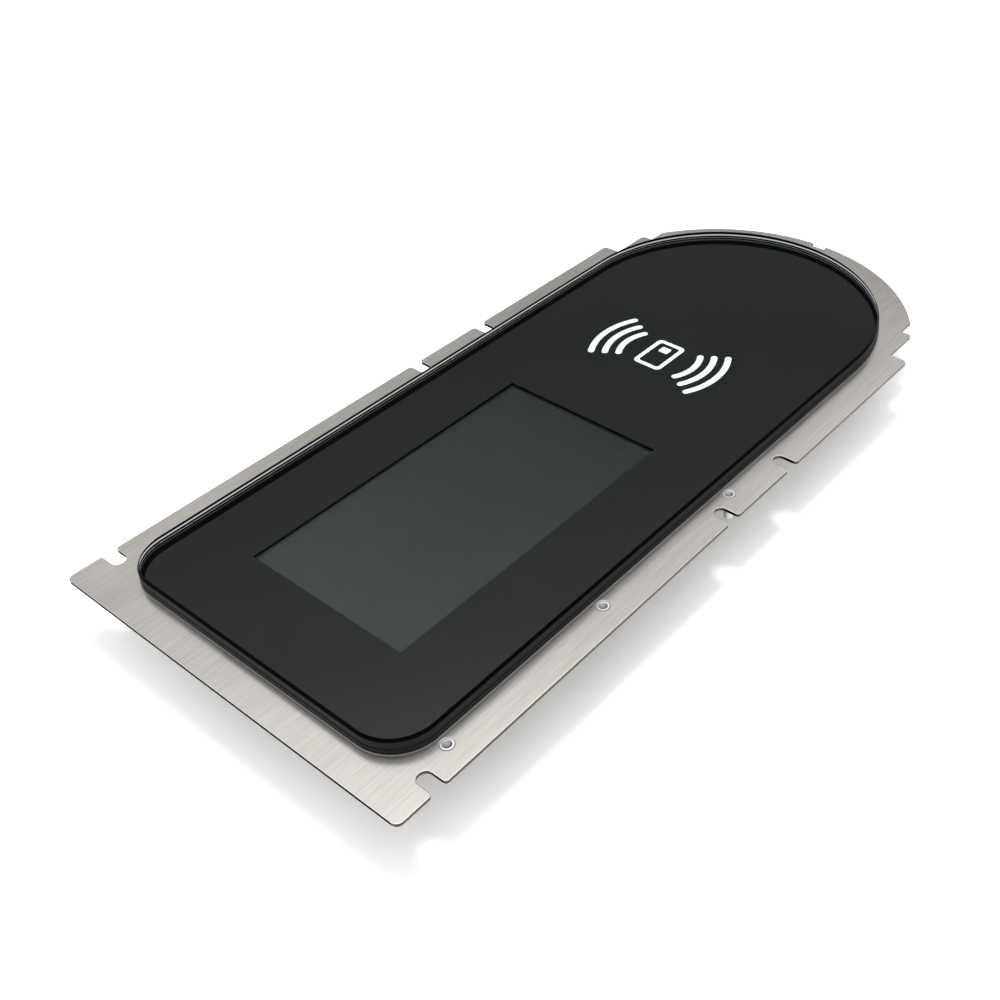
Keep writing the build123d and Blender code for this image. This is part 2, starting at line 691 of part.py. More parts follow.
def sam_socket(y):
    """Card socket under the reader board, open towards the hatch."""
    body = block(sam_mouth_x - SAM_LENGTH / 2, y, READER_Z - SAM_HEIGHT, SAM_LENGTH, SAM_WIDTH, SAM_HEIGHT)
    slot_height = CARD_THICKNESS + 2 * SEAT
    slot_x = sam_mouth_x - sam_slot_length / 2
    return body - block(slot_x, y, card_z - SEAT, sam_slot_length, CARD_WIDTH + 2 * SEAT, slot_height)


def sam_card(y):
    """A small security card, pushed home with a short end left to pull."""
    inner_x = sam_mouth_x - sam_slot_length + SEAT
    face = Pos(inner_x + CARD_LENGTH / 2, y) * RectangleRounded(CARD_LENGTH, CARD_WIDTH, CARD_CORNER)
    return slab(face, card_z, CARD_THICKNESS)


# ---- main board's parts ----------------------------------------------------------------------------
def processor():
    return block(0, PROCESSOR_Y, main_top, *PROCESSOR)


def heat_sink():
    """Extruded heat sink that lies on the processor: a base and upright fins."""
    side = HEAT_SINK_SIDE
    base_z = main_top + PROCESSOR[2]
    base = block(0, PROCESSOR_Y, base_z, side, side, HEAT_SINK_BASE)
    middle = (FIN_COUNT - 1) / 2
    fins = [
        block((n - middle) * FIN_PITCH, PROCESSOR_Y, base_z + HEAT_SINK_BASE, FIN_THICKNESS, side, FIN_HEIGHT)
        for n in range(FIN_COUNT)
    ]
    return joined([base] + fins)


def memory_chips():
    return group([block(x, PROCESSOR_Y, main_top, *MEMORY_CHIP) for x in (-MEMORY_X, MEMORY_X)])


def capacitor(x):
    can = rod(x, CAPACITOR_Y, main_top, CAPACITOR_DIAMETER / 2, CAPACITOR_HEIGHT)
    return fillet(can.faces().sort_by(Axis.Z)[-1].edges(), 0.6)


def battery_holder():
    """Round moulded cup for the clock's coin cell, with a clip over one side."""
    radius = BATTERY_DIAMETER / 2
    floor_z = main_top + HOLDER_FLOOR
    depth = HOLDER_HEIGHT - HOLDER_FLOOR
    cup = rod(BATTERY_X, BATTERY_Y, main_top, radius + HOLDER_WALL, HOLDER_HEIGHT)
    clip = block(BATTERY_X, BATTERY_Y + radius + 1, floor_z, *HOLDER_CLIP, depth)
    return cup + clip - rod(BATTERY_X, BATTERY_Y, floor_z, radius + SEAT, depth)


def clock_battery():
    return rod(BATTERY_X, BATTERY_Y, main_top + HOLDER_FLOOR, BATTERY_DIAMETER / 2, BATTERY_HEIGHT)


ribbon_z = main_top + RIBBON_SLOT[2] + RIBBON_SLOT[1] / 2


def ribbon_connector(x, ribbon_width):
    """Low connector on the main board with a slot that takes a ribbon's end."""
    length, height = RIBBON_CONNECTOR
    slot_depth, slot_height, slot_z = RIBBON_SLOT
    body = block(x, RIBBON_CONNECTOR_Y, main_top, ribbon_width + 4, length, height)
    slot_y = RIBBON_CONNECTOR_Y - length / 2 + slot_depth / 2
    return body - block(x, slot_y, main_top + slot_z, ribbon_width + 2 * SEAT, slot_depth, slot_height)


def ribbon(x, width):
    """Flat flexible cable: out from under the display, down past its end and into its connector."""
    display_z = tray_bottom - RIBBON_THICKNESS
    end_y = RIBBON_CONNECTOR_Y - RIBBON_CONNECTOR[0] / 2 + RIBBON_SLOT[0] - SEAT
    points = [
        (RIBBON_START_Y, display_z),
        (RIBBON_DROP_Y, display_z),
        (RIBBON_DROP_Y, ribbon_z),
        (end_y, ribbon_z),
    ]
    path = FilletPolyline(*[(x, y, z) for y, z in points], radius=RIBBON_BEND)
    start = Plane(origin=path @ 0, x_dir=(1, 0, 0), z_dir=path % 0)
    return sweep(start * Rectangle(width, RIBBON_THICKNESS), path=path)


def network_socket():
    """Shielded network jack; its mouth is flush with the outside of the housing's end."""
    width, length, height = NETWORK_SIZE
    mouth_width, mouth_depth, mouth_height = NETWORK_MOUTH
    front = HOUSING_BOTTOM_Y - SOCKET_PROUD
    body = block(NETWORK_X, front + length / 2, main_top, width, length, height)
    mouth_y = front + mouth_depth / 2
    mouth_z = main_top + NETWORK_SILL
    latch_width, latch_height = NETWORK_LATCH
    body = body - block(NETWORK_X, mouth_y, mouth_z, mouth_width, mouth_depth, mouth_height)
    return body - block(NETWORK_X, mouth_y, mouth_z - latch_height, latch_width, mouth_depth, latch_height)


header_width = HEADER_POLES * HEADER_PITCH + 2 * HEADER_WALL


def pin_header(x):
    """Open-fronted plug header: a box with one row of pins."""
    front = HOUSING_BOTTOM_Y - SOCKET_PROUD
    wall = HEADER_WALL
    body = block(x, front + HEADER_DEPTH / 2, main_top, header_width, HEADER_DEPTH, HEADER_HEIGHT)
    hollow_width = header_width - 2 * wall
    hollow_depth = HEADER_DEPTH - HEADER_BACK
    hollow_height = HEADER_HEIGHT - 2 * wall
    hollow_y = front + hollow_depth / 2
    header = body - block(x, hollow_y, main_top + wall, hollow_width, hollow_depth, hollow_height)
    pin_length = HEADER_DEPTH - HEADER_PIN_SETBACK
    pin_y = front + HEADER_DEPTH - pin_length / 2
    middle = (HEADER_POLES - 1) / 2
    for pole in range(HEADER_POLES):
        pin_x = x + (pole - middle) * HEADER_PITCH
        pin_z = main_top + (HEADER_HEIGHT - HEADER_PIN) / 2
        header = header + block(pin_x, pin_y, pin_z, HEADER_PIN, pin_length, HEADER_PIN)
    return header


# ---- switches --------------------------------------------------------------------------------------
reset_z = main_top + RESET_BODY[2] / 2
reset_body_y = MAIN_BOTTOM_Y + RESET_SETBACK


def reset_switch():
    width, length, height = RESET_BODY
    body = block(RESET_X, reset_body_y + length / 2, main_top, width, length, height)
    bore = RESET_DEPTH + RESET_TRAVEL + END_PLAY
    return body - rod_y(RESET_X, reset_body_y, reset_z, RESET_BUTTON / 2 + RUNNING, bore)


def reset_button():
    front = HOUSING_BOTTOM_Y - RESET_PROUD
    length = reset_body_y + RESET_DEPTH - front
    button = rod_y(RESET_X, front, reset_z, RESET_BUTTON / 2, length)
    return fillet(button.faces().sort_by(Axis.Y)[0].edges(), 0.4)


tamper_front = HOUSING_BOTTOM_Y - TAMPER_FLANGE_THICKNESS


def tamper_switch():
    """Round push-through switch body: flange outside the wall, barrel through it."""
    flange = rod_y(TAMPER_X, tamper_front, TAMPER_Z, TAMPER_FLANGE / 2, TAMPER_FLANGE_THICKNESS)
    barrel = rod_y(TAMPER_X, tamper_front, TAMPER_Z, TAMPER_BARREL / 2, TAMPER_LENGTH)
    body = flange + barrel
    return body - rod_y(TAMPER_X, tamper_front, TAMPER_Z, TAMPER_PLUNGER / 2 + RUNNING, TAMPER_BORE)


def tamper_nut():
    hexagon = RegularPolygon(TAMPER_NUT / 2, 6) - Circle(TAMPER_BARREL / 2 + TAPPED_CLEARANCE)
    nut = extrude(hexagon, TAMPER_NUT_THICKNESS)
    far_y = housing_inside_y + SEAT + TAMPER_NUT_THICKNESS
    return Pos(TAMPER_X, far_y, TAMPER_Z) * Rot(90, 0, 0) * nut


def tamper_plunger():
    front = tamper_front - TAMPER_PROUD
    length = TAMPER_PROUD + TAMPER_BORE - TAMPER_TRAVEL - END_PLAY
    plunger = rod_y(TAMPER_X, front, TAMPER_Z, TAMPER_PLUNGER / 2, length)
    return fillet(plunger.faces().sort_by(Axis.Y)[0].edges(), 1.2)


# ---- rear housing ----------------------------------------------------------------------------------
barrel_length = HATCH_OPENING - 6.0
lug_starts = (
    mark_y - barrel_length / 2 - HATCH_GAP - HINGE_LUG,
    mark_y + barrel_length / 2 + HATCH_GAP,
)


def housing_openings():
    """Everything cut through the housing's walls."""
    through = 3 * HOUSING_WALL
    play = SOCKET_PLAY
    end_y = HOUSING_BOTTOM_Y + HOUSING_WALL / 2
    width, _, height = NETWORK_SIZE
    tools = [block(NETWORK_X, end_y, main_top - play, width + 2 * play, through, height + 2 * play)]
    header_hole = (header_width + 2 * play, through, HEADER_HEIGHT + 2 * play)
    for x in (POWER_X, DATA_X):
        tools.append(block(x, end_y, main_top - play, *header_hole))
    start_y = end_y - through / 2
    tools.append(rod_y(RESET_X, start_y, reset_z, RESET_BUTTON / 2 + play, through))
    tools.append(rod_y(TAMPER_X, start_y, TAMPER_Z, TAMPER_BARREL / 2 + TAPPED_CLEARANCE, through))
    low, high = HATCH_OPENING_Z
    tools.append(block(housing_half, mark_y, low, through, HATCH_OPENING, high - low))
    for side in (-1, 1):
        for vent in range(VENT_COUNT):
            y = VENT_FIRST_Y + vent * VENT_PITCH
            low = VENT_Z - VENT_LENGTH / 2
            tools.append(block(side * housing_half, y, low, through, VENT_WIDTH, VENT_LENGTH))
    return tools



def grille_slots():
    """Slots in the housing's back behind the speaker, each as long as the cone is wide there."""
    tools = []
    for step in range(-2, 3):
        offset = step * GRILLE_PITCH
        length = 2 * sqrt((SPEAKER_DIAMETER / 2 - SPEAKER_STEP) ** 2 - offset**2)
        tools.append(block(0, speaker_y + offset, 0, length, GRILLE_SLOT, HOUSING_WALL))
    return tools


def hinge_lug(start):
    lug = rod_y(hinge_x, start, HINGE_Z, HINGE_RADIUS, HINGE_LUG)
    depth = hinge_x - housing_half + HOUSING_WALL / 2
    low = HINGE_Z - HINGE_RADIUS
    web = block(hinge_x - depth / 2, start + HINGE_LUG / 2, low, depth, HINGE_LUG, 2 * HINGE_RADIUS)
    return lug + web


def rear_cover():
    shell = slab(housing_arch(0), 0, flange_top)
    shell = fillet(shell.faces().sort_by(Axis.Z)[0].edges(), HOUSING_BACK_EDGE)
    shell = shell + slab(housing_arch(-FLANGE_WIDTH), flange_bottom, FLANGE_THICKNESS)
    shell = shell - slab(housing_arch(HOUSING_WALL), HOUSING_WALL, flange_top)
    shell = joined([shell] + [hinge_lug(start) for start in lug_starts])
    shell = cut_all(shell, housing_openings() + grille_slots())
    for x, y, top in boss_places:
        shell = shell + rod(x, y, HOUSING_WALL, BOSS_DIAMETER / 2, top - HOUSING_WALL)
    for x, y, top in boss_places:
        shell = shell - rod(x, y, top - INSERT_LENGTH, INSERT_DIAMETER / 2, INSERT_LENGTH)
    hole = SCREW_THREAD / 2 + SCREW_CLEARANCE
    shell = cut_all(shell, [rod(x, y, flange_bottom, hole, FLANGE_THICKNESS) for x, y in screw_places])
    pin_length = lug_starts[1] - lug_starts[0] + HINGE_LUG
    return shell - rod_y(hinge_x, lug_starts[0], HINGE_Z, HINGE_PIN / 2, pin_length)


def rear_gasket():
    face = housing_arch(-FLANGE_WIDTH) - housing_arch(HOUSING_WALL)
    hole = SCREW_THREAD / 2 + SCREW_CLEARANCE
    gasket = slab(face, flange_top, REAR_GASKET)
    return cut_all(gasket, [rod(x, y, flange_top, hole, REAR_GASKET) for x, y in screw_places])


def threaded_insert(x, y, top):
    ring = Circle(INSERT_DIAMETER / 2) - Circle(SCREW_THREAD / 2 + TAPPED_CLEARANCE)
    return slab(Pos(x, y) * ring, top - INSERT_LENGTH, INSERT_LENGTH)


def hinge_pin():
    length = lug_starts[1] - lug_starts[0] + HINGE_LUG
    return rod_y(hinge_x, lug_starts[0], HINGE_Z, HINGE_PIN / 2, length)


def card_hatch():
    """Hinged cover over the card opening: flat lid, locating rim, barrel and a finger lip."""
    low, high = HATCH_OPENING_Z
    lid_x = housing_half + HATCH_GAP + HATCH_THICKNESS / 2
    lid_bottom = HINGE_Z + HINGE_RADIUS + HATCH_GAP
    lid_length = HATCH_OPENING + 2 * HATCH_LAP
    lid = block(lid_x, mark_y, lid_bottom, HATCH_THICKNESS, lid_length, HATCH_TOP_Z - lid_bottom)
    tongue = block(lid_x, mark_y, HINGE_Z, HATCH_THICKNESS, barrel_length, lid_bottom - HINGE_Z + 1)
    barrel = rod_y(hinge_x, mark_y - barrel_length / 2, HINGE_Z, HINGE_RADIUS, barrel_length)
    rim_length = HATCH_OPENING - 2 * HATCH_RIM_PLAY
    rim_bottom = low + HATCH_RIM_PLAY
    rim_height = high - HATCH_RIM_PLAY - rim_bottom
    rim_depth = HATCH_GAP + HATCH_RIM_DEPTH
    rim_x = housing_half + HATCH_GAP - rim_depth / 2
    rim = block(rim_x, mark_y, rim_bottom, rim_depth, rim_length, rim_height)
    inside_length = rim_length - 2 * HATCH_RIM
    inside_height = rim_height - 2 * HATCH_RIM
    rim = rim - block(rim_x, mark_y, rim_bottom + HATCH_RIM, rim_depth, inside_length, inside_height)
    lip_depth, _, lip_height = HATCH_LIP
    lip_x = lid_x + (HATCH_THICKNESS + lip_depth) / 2
    lip = block(lip_x, mark_y, HATCH_TOP_Z - 2 * lip_height, *HATCH_LIP)
    hatch = joined([lid, tongue, barrel, rim, lip])
    bore = HINGE_PIN / 2 + HINGE_PLAY
    return hatch - rod_y(hinge_x, mark_y - barrel_length / 2, HINGE_Z, bore, barrel_length)


def speaker():
    """Small round loudspeaker: flanged basket with its magnet, cone towards the back grille."""
    radius = SPEAKER_DIAMETER / 2
    basket_z = HOUSING_WALL + SPEAKER_RIM
    magnet_z = basket_z + SPEAKER_BASKET
    rim = rod(0, speaker_y, HOUSING_WALL, radius, SPEAKER_RIM)
    basket = rod(0, speaker_y, basket_z, radius - SPEAKER_STEP, SPEAKER_BASKET)
    magnet = rod(0, speaker_y, magnet_z, radius - 1.6 * SPEAKER_STEP, SPEAKER_MAGNET)
    cone = Cone(radius - 0.6 * SPEAKER_STEP, radius - 1.6 * SPEAKER_STEP, SPEAKER_CONE)
    return rim + basket + magnet - Pos(0, speaker_y, HOUSING_WALL + SPEAKER_CONE / 2) * cone


# ---- every node of the assembly --------------------------------------------------------------------
nodes = {
    "mounting_plate": mounting_plate(),
    "clinch_studs": group([clinch_stud(x, y) for x, y in stud_places]),
    "frame_gasket": frame_gasket(),
    "front_frame": front_frame(),
    "glass_tape": glass_tape(),
    "cover_glass": cover_glass(),
    "glass_print": glass_print(),
    "contactless_mark": contactless_mark(),
    "optical_bond": optical_bond(),
    "touch_sensor": touch_sensor(),
    "lcd_gasket": lcd_gasket(),
    "lcd_cell": lcd_cell(),
    "light_guide": light_guide(),
    "backlight_tray": backlight_tray(),
    "display_straps": group([display_strap(y) for y in strap_rows]),
    "strap_screws": group([screw_up(x, y, strap_seat, STRAP_SCREW_LENGTH) for x, y in strap_holes]),
    "display_ribbon": ribbon(DISPLAY_RIBBON_X, DISPLAY_RIBBON_WIDTH),
    "touch_ribbon": ribbon(TOUCH_RIBBON_X, TOUCH_RIBBON_WIDTH),
    "ribbon_connectors": group([
        ribbon_connector(DISPLAY_RIBBON_X, DISPLAY_RIBBON_WIDTH),
        ribbon_connector(TOUCH_RIBBON_X, TOUCH_RIBBON_WIDTH),
    ]),
    "aerial_board": aerial_board(),
    "aerial_coil": aerial_coil(),
    "ferrite_sheet": ferrite_sheet(),
    "aerial_header": aerial_header(),
    "reader_board": board(READER_WIDTH, READER_LENGTH, mark_y, READER_Z, reader_holes),
    "reader_chip": reader_chip(),
    "reader_shield": reader_shield(),
    "sam_sockets": group([sam_socket(y) for y in sam_places]),
    "sam_cards": group([sam_card(y) for y in sam_places]),
    "main_board": board(MAIN_WIDTH, MAIN_LENGTH, main_centre_y, MAIN_Z, main_holes),
    "processor": processor(),
    "heat_sink": heat_sink(),
    "memory_chips": memory_chips(),
    "capacitors": group([capacitor(x) for x in CAPACITOR_X]),
    "battery_holder": battery_holder(),
    "clock_battery": clock_battery(),
    "network_socket": network_socket(),
    "power_header": pin_header(POWER_X),
    "data_header": pin_header(DATA_X),
    "reset_switch": reset_switch(),
    "reset_button": reset_button(),
    "tamper_switch": tamper_switch(),
    "tamper_nut": tamper_nut(),
    "tamper_plunger": tamper_plunger(),
    "board_screws": group([screw_down(x, y, z + BOARD_THICKNESS, SCREW_LENGTH) for x, y, z in boss_places]),
    "threaded_inserts": group([threaded_insert(x, y, z) for x, y, z in boss_places]),
    "speaker": speaker(),
    "rear_cover": rear_cover(),
    "rear_gasket": rear_gasket(),
    "rear_screws": group([screw_up(x, y, flange_bottom, SCREW_LENGTH) for x, y in screw_places]),
    "card_hatch": card_hatch(),
    "hinge_pin": hinge_pin(),
}

os.makedirs("parts", exist_ok=True)
to_origin = Pos(0, -plate_length / 2, 0)
for name, shape in nodes.items():
    export_step(to_origin * shape, f"parts/{name}.step")
print(len(nodes), "nodes; overall", PLATE_WIDTH, "x", plate_length, "x", glass_bottom + GLASS_THICKNESS)
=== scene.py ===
# %% [markdown]
# # The front module of a ticket machine
# This lesson dresses a finished CAD model. Every solid already has its true shape and place, so the work here
# is to give each one the surface that its real material has, to add the small pieces that were too fine for
# CAD, and to light and frame the result. The model is in metres, and patterns and small pieces are sized in
# millimetres. +Y runs up the module towards its arch and +Z comes out of the glass.

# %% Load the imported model
import json
from math import cos, pi, radians, sin

import bmesh
import bpy
from mathutils import Matrix, Vector


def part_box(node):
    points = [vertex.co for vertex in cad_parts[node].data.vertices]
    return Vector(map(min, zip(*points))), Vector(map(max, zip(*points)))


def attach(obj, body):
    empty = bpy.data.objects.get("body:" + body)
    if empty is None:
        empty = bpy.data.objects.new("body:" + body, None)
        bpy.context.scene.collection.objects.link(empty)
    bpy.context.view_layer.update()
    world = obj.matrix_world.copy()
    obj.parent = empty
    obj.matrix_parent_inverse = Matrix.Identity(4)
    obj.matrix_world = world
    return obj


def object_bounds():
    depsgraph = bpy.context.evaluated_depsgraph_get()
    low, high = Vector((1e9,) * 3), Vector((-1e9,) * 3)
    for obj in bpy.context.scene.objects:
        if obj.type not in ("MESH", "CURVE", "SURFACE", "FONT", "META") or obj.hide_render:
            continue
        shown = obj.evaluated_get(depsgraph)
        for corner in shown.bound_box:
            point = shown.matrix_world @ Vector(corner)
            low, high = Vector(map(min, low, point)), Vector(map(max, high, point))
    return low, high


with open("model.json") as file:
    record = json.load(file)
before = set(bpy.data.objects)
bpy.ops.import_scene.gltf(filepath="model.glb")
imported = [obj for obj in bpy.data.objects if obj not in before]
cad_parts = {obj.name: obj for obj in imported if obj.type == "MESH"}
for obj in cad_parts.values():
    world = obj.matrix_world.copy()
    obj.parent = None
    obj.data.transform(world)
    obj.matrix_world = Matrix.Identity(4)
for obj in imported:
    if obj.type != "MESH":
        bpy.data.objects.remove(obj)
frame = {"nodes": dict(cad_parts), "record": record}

nodes = frame["nodes"]
cad_box = [list(corner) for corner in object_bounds()]
MM = 0.001
print(len(nodes), "CAD nodes in a box of", [round((b - a) / MM, 1) for a, b in zip(*cad_box)], "mm")

# %% [markdown]
# ## The camera
# A product picture is taken with a normal lens from about half a metre, high enough to see the whole top face.
# The lens is given in millimetres on a 36 mm sensor. The small sideways shift leaves room beside the object
# without turning the camera, so upright lines stay as they are.

# %% Stand the camera
CAMERA_PLACE = (0.30806, -0.34340, 0.37012)         # metres
CAMERA_TURN = 38.921            # degrees to the left of +Y
CAMERA_TILT = 40.142            # degrees below level
CAMERA_ROLL = -0.950            # degrees round its own axis
FOCAL_LENGTH, SENSOR_WIDTH = 44.29, 36.0            # mm
SHIFT_ACROSS, SHIFT_UP = -0.1355, -0.0024           # shares of the picture's width
NEAREST, FARTHEST = 0.01, 50.0                      # metres that the camera sees between
lens = bpy.data.cameras.new("camera")
lens.lens, lens.sensor_width = FOCAL_LENGTH, SENSOR_WIDTH
lens.shift_x, lens.shift_y = SHIFT_ACROSS, SHIFT_UP
lens.clip_start, lens.clip_end = NEAREST, FARTHEST
camera = bpy.data.objects.new("camera", lens)
turn = Matrix.Rotation(radians(CAMERA_TURN), 4, "Z") @ Matrix.Rotation(radians(90 - CAMERA_TILT), 4, "X")
camera.matrix_world = Matrix.Translation(CAMERA_PLACE) @ turn @ Matrix.Rotation(radians(CAMERA_ROLL), 4, "Z")
bpy.context.scene.collection.objects.link(camera)
bpy.context.scene.camera = camera
bpy.context.scene.view_settings.view_transform = "Standard"
plate_middle = sum(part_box("mounting_plate"), Vector()) / 2
print("camera", round((camera.matrix_world.translation - plate_middle).length, 3), "m from the plate's middle")

# %% [markdown]
# ## Helpers for every material
# A colour is written as the hex value that a picture editor shows. Blender works in linear light, so one
# function turns it. The next adds a node, with its settings by name and its inputs as numbers or links. The third
# starts a material and gives the surface's place in millimetres, so that each pattern can be sized from a real
# one. The last finds corners, where handling and tools leave their marks: a bevel node rounds the normal there,
# so it no longer agrees with the face's own.

# %% Colours and nodes
def linear(code):
    """The linear colour of an sRGB hex value."""
    parts = [int(code[i:i + 2], 16) / 255 for i in (1, 3, 5)]
    return (*[c / 12.92 if c <= 0.04045 else ((c + 0.055) / 1.055) ** 2.4 for c in parts], 1.0)


def add(tree, kind, inputs=None, **settings):
    """Adds one node. An input is given by its name or number, as a value, a socket or another node."""
    node = tree.nodes.new("ShaderNode" + kind)
    for name, value in settings.items():
        setattr(node, name, value)
    for name, value in (inputs or {}).items():
        open_now = [s for s in node.inputs if s.name == name and s.enabled]
        socket = node.inputs[name] if isinstance(name, int) else open_now[0]
        if isinstance(value, bpy.types.Node):
            value = next(s for s in value.outputs if s.enabled)
        if isinstance(value, bpy.types.NodeSocket):
            tree.links.new(value, socket)
        else:
            socket.default_value = value
    return node


def begin(name):
    """An empty material, its tree, and the surface's coordinates in millimetres."""
    finish = bpy.data.materials.new(name)
    finish.use_nodes = True
    tree = finish.node_tree
    tree.nodes.clear()
    place = add(tree, "TexCoord").outputs["Object"]
    return finish, tree, add(tree, "Mapping", {"Vector": place, "Scale": (1 / MM, 1 / MM, 1 / MM)})


def corners(tree, radius, samples):
    """The normal rounded over a radius in millimetres, the face's own normal, and how nearly the two agree."""
    rounded = add(tree, "Bevel", {"Radius": radius * MM}, samples=samples)
    own = add(tree, "NewGeometry").outputs["Normal"]
    agree = add(tree, "VectorMath", {0: rounded, 1: own}, operation="DOT_PRODUCT").outputs["Value"]
    return rounded, own, agree


finishes = {}
print("steel grey in linear light:", [round(c, 3) for c in linear("#C8C3BB")[:3]])

# %% [markdown]
# ## The floor and the light
# The module lies on a light table: a sheet of white acrylic, lit from below as well as from above, which is how
# product pictures get a white ground with only a breath of shadow. The surround is a sky that is bright low
# down, dim in the middle and brightest overhead, because polished glass and steel show whatever they mirror: the
# dim part keeps black glass black, and the bright part makes the near end of the steel glow. Two soft lamps help.
# One stands almost overhead and throws the thin shadow; it is hidden from mirror reflections, which the sky
# already provides. One stands beyond the arch, where only the rough steel catches it, never the glass.

# %% Lay the light table
FLOOR_RADIUS, FLOOR_SIDES = 4.0, 64
FLOOR_GAP = 0.0002              # metres under the lowest solid, so that no two faces share a plane
LIT_FROM_BELOW = 0.26           # how strongly the sheet glows by itself
HAZE = 50                       # mm, the width of its faint clouds
floor_level = cad_box[0][2] - FLOOR_GAP
floor_mesh = bpy.data.meshes.new("floor")
round_the_floor = [2 * pi * i / FLOOR_SIDES for i in range(FLOOR_SIDES)]
rim = [(FLOOR_RADIUS * cos(a), FLOOR_RADIUS * sin(a), floor_level) for a in round_the_floor]
floor_mesh.from_pydata(rim, [], [list(range(FLOOR_SIDES))])
floor = bpy.data.objects.new("floor", floor_mesh)
bpy.context.scene.collection.objects.link(floor)
finish, tree, place = begin("lit_white_acrylic")
haze = add(tree, "TexNoise", {"Vector": place, "Scale": 1 / HAZE, "Detail": 2.0})
acrylic = add(tree, "Mix", {"Factor": haze, "A": linear("#F0F0F0"), "B": linear("#F4F4F4")}, data_type="RGBA")
top_side = add(tree, "BsdfDiffuse", {"Color": acrylic})
from_below = add(tree, "Emission", {"Color": acrylic, "Strength": LIT_FROM_BELOW})
add(tree, "OutputMaterial", {"Surface": add(tree, "AddShader", {0: top_side, 1: from_below})})
floor_mesh.materials.append(finish)
print("light table", 2 * FLOOR_RADIUS, "m across")

# %% Light the studio
SKY = [                         # heights, from the horizon (0) to straight overhead (1), and the light there
    (0.00, 0.95), (0.25, 0.70), (0.42, 0.28), (0.54, 0.28),
    (0.62, 0.42), (0.72, 0.70), (0.80, 1.30), (0.90, 1.95),
]
BRIGHTEST = 2.0                 # the ramp holds colours up to 1, so the sky is drawn at half its light
world = bpy.data.worlds.new("studio")
world.use_nodes = True
bpy.context.scene.world = world
tree = world.node_tree
tree.nodes.clear()
up = add(tree, "SeparateXYZ", {0: add(tree, "TexCoord").outputs["Generated"]}).outputs["Z"]
sky = add(tree, "ValToRGB", {0: up})
stops = sky.color_ramp.elements                     # a new ramp has two
stops[1].position = SKY[1][0]
for height, light in SKY[2:]:
    stops.new(height)
for stop, (height, light) in zip(stops, SKY):
    grey = light / BRIGHTEST
    stop.position, stop.color = height, (grey, grey, grey, 1)
add(tree, "OutputWorld", {"Surface": add(tree, "Background", {"Color": sky, "Strength": BRIGHTEST})})


def softbox(name, place, size, power, mirrored):
    """A square soft lamp that points at the module; mirrored says whether shiny things show it."""
    lamp = bpy.data.lights.new(name, "AREA")
    lamp.shape, lamp.size, lamp.energy = "SQUARE", size, power
    holder = bpy.data.objects.new(name, lamp)
    holder.location = place
    holder.rotation_euler = Vector(place).to_track_quat("Z", "Y").to_euler()
    holder.visible_glossy = mirrored
    bpy.context.scene.collection.objects.link(holder)
    print(name, round(Vector(place).length, 2), "m away")


softbox("key_softbox", place=(-0.16, 0.14, 1.38), size=0.40, power=17, mirrored=False)
softbox("far_softbox", place=(-0.12, 0.98, 0.95), size=0.45, power=0.7, mirrored=True)

# %% [markdown]
# ## Brushed stainless steel
# The mounting plate is 304 sheet, brushed along its length with a belt of about 180 grit. Each groove is a few
# hundredths of a millimetre wide, so they are drawn as coarse as they need to be to show, in two sizes, one over
# the other. The grooves spread every highlight across the plate, so the shader is anisotropic. The cut edge is
# laser cut: darker, with fine upright lines. Its deburred rim is rounded, and a painted highlight whitens it.

# %% The plate's brushed sheet
GROOVE, BELT_MARK, CUT_LINE = (0.30, 16, 4), (1.1, 60, 4), (0.25, 0.25, 6)         # mm across, along and up
CLOUD = 45                      # mm, the slow changes of shine
ROUNDED_AND_HIGHLIT_EDGE = 0.55                   # mm of rounded edge all round the outline, where the normal is rounded and the colour is painted towards white as a highlight
CUT_FACING = 0.5                # a face that looks up less than this is cut edge
finish, tree, place = begin("brushed_304_stainless_sheet")
fine = add(tree, "Mapping", {"Vector": place, "Scale": [1 / size for size in GROOVE]})
coarse = add(tree, "Mapping", {"Vector": place, "Scale": [1 / size for size in BELT_MARK]})
fine = add(tree, "TexNoise", {"Vector": fine, "Scale": 1.0, "Detail": 3.0, "Roughness": 0.6})
coarse = add(tree, "TexNoise", {"Vector": coarse, "Scale": 1.0, "Detail": 2.0})
clouds = add(tree, "TexNoise", {"Vector": place, "Scale": 1 / CLOUD, "Detail": 2.0})
groove = add(tree, "Mix", {"Factor": 0.20, "A": fine, "B": coarse}, data_type="FLOAT")
tone = add(tree, "MapRange", {"Value": groove, "From Min": 0.30, "From Max": 0.70})
steel = add(tree, "Mix", {"Factor": tone, "A": linear("#C4C0BA"), "B": linear("#E0DDD8")}, data_type="RGBA")
facing = add(tree, "SeparateXYZ", {0: add(tree, "TexCoord").outputs["Normal"]}).outputs["Z"]
facing = add(tree, "Math", {0: facing}, operation="ABSOLUTE")
on_edge = add(tree, "Math", {0: facing, 1: CUT_FACING}, operation="LESS_THAN")
edge_lines = add(tree, "Mapping", {"Vector": place, "Scale": [1 / size for size in CUT_LINE]})
edge_lines = add(tree, "TexNoise", {"Vector": edge_lines, "Scale": 1.0, "Detail": 2.0})
cut = add(tree, "Mix", {"Factor": edge_lines, "A": linear("#2E2822"), "B": linear("#5A5148")}, data_type="RGBA")
plate_low, plate_high = [corner.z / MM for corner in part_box("mounting_plate")]
rounded, flat, turned = corners(tree, ROUNDED_AND_HIGHLIT_EDGE, samples=6)
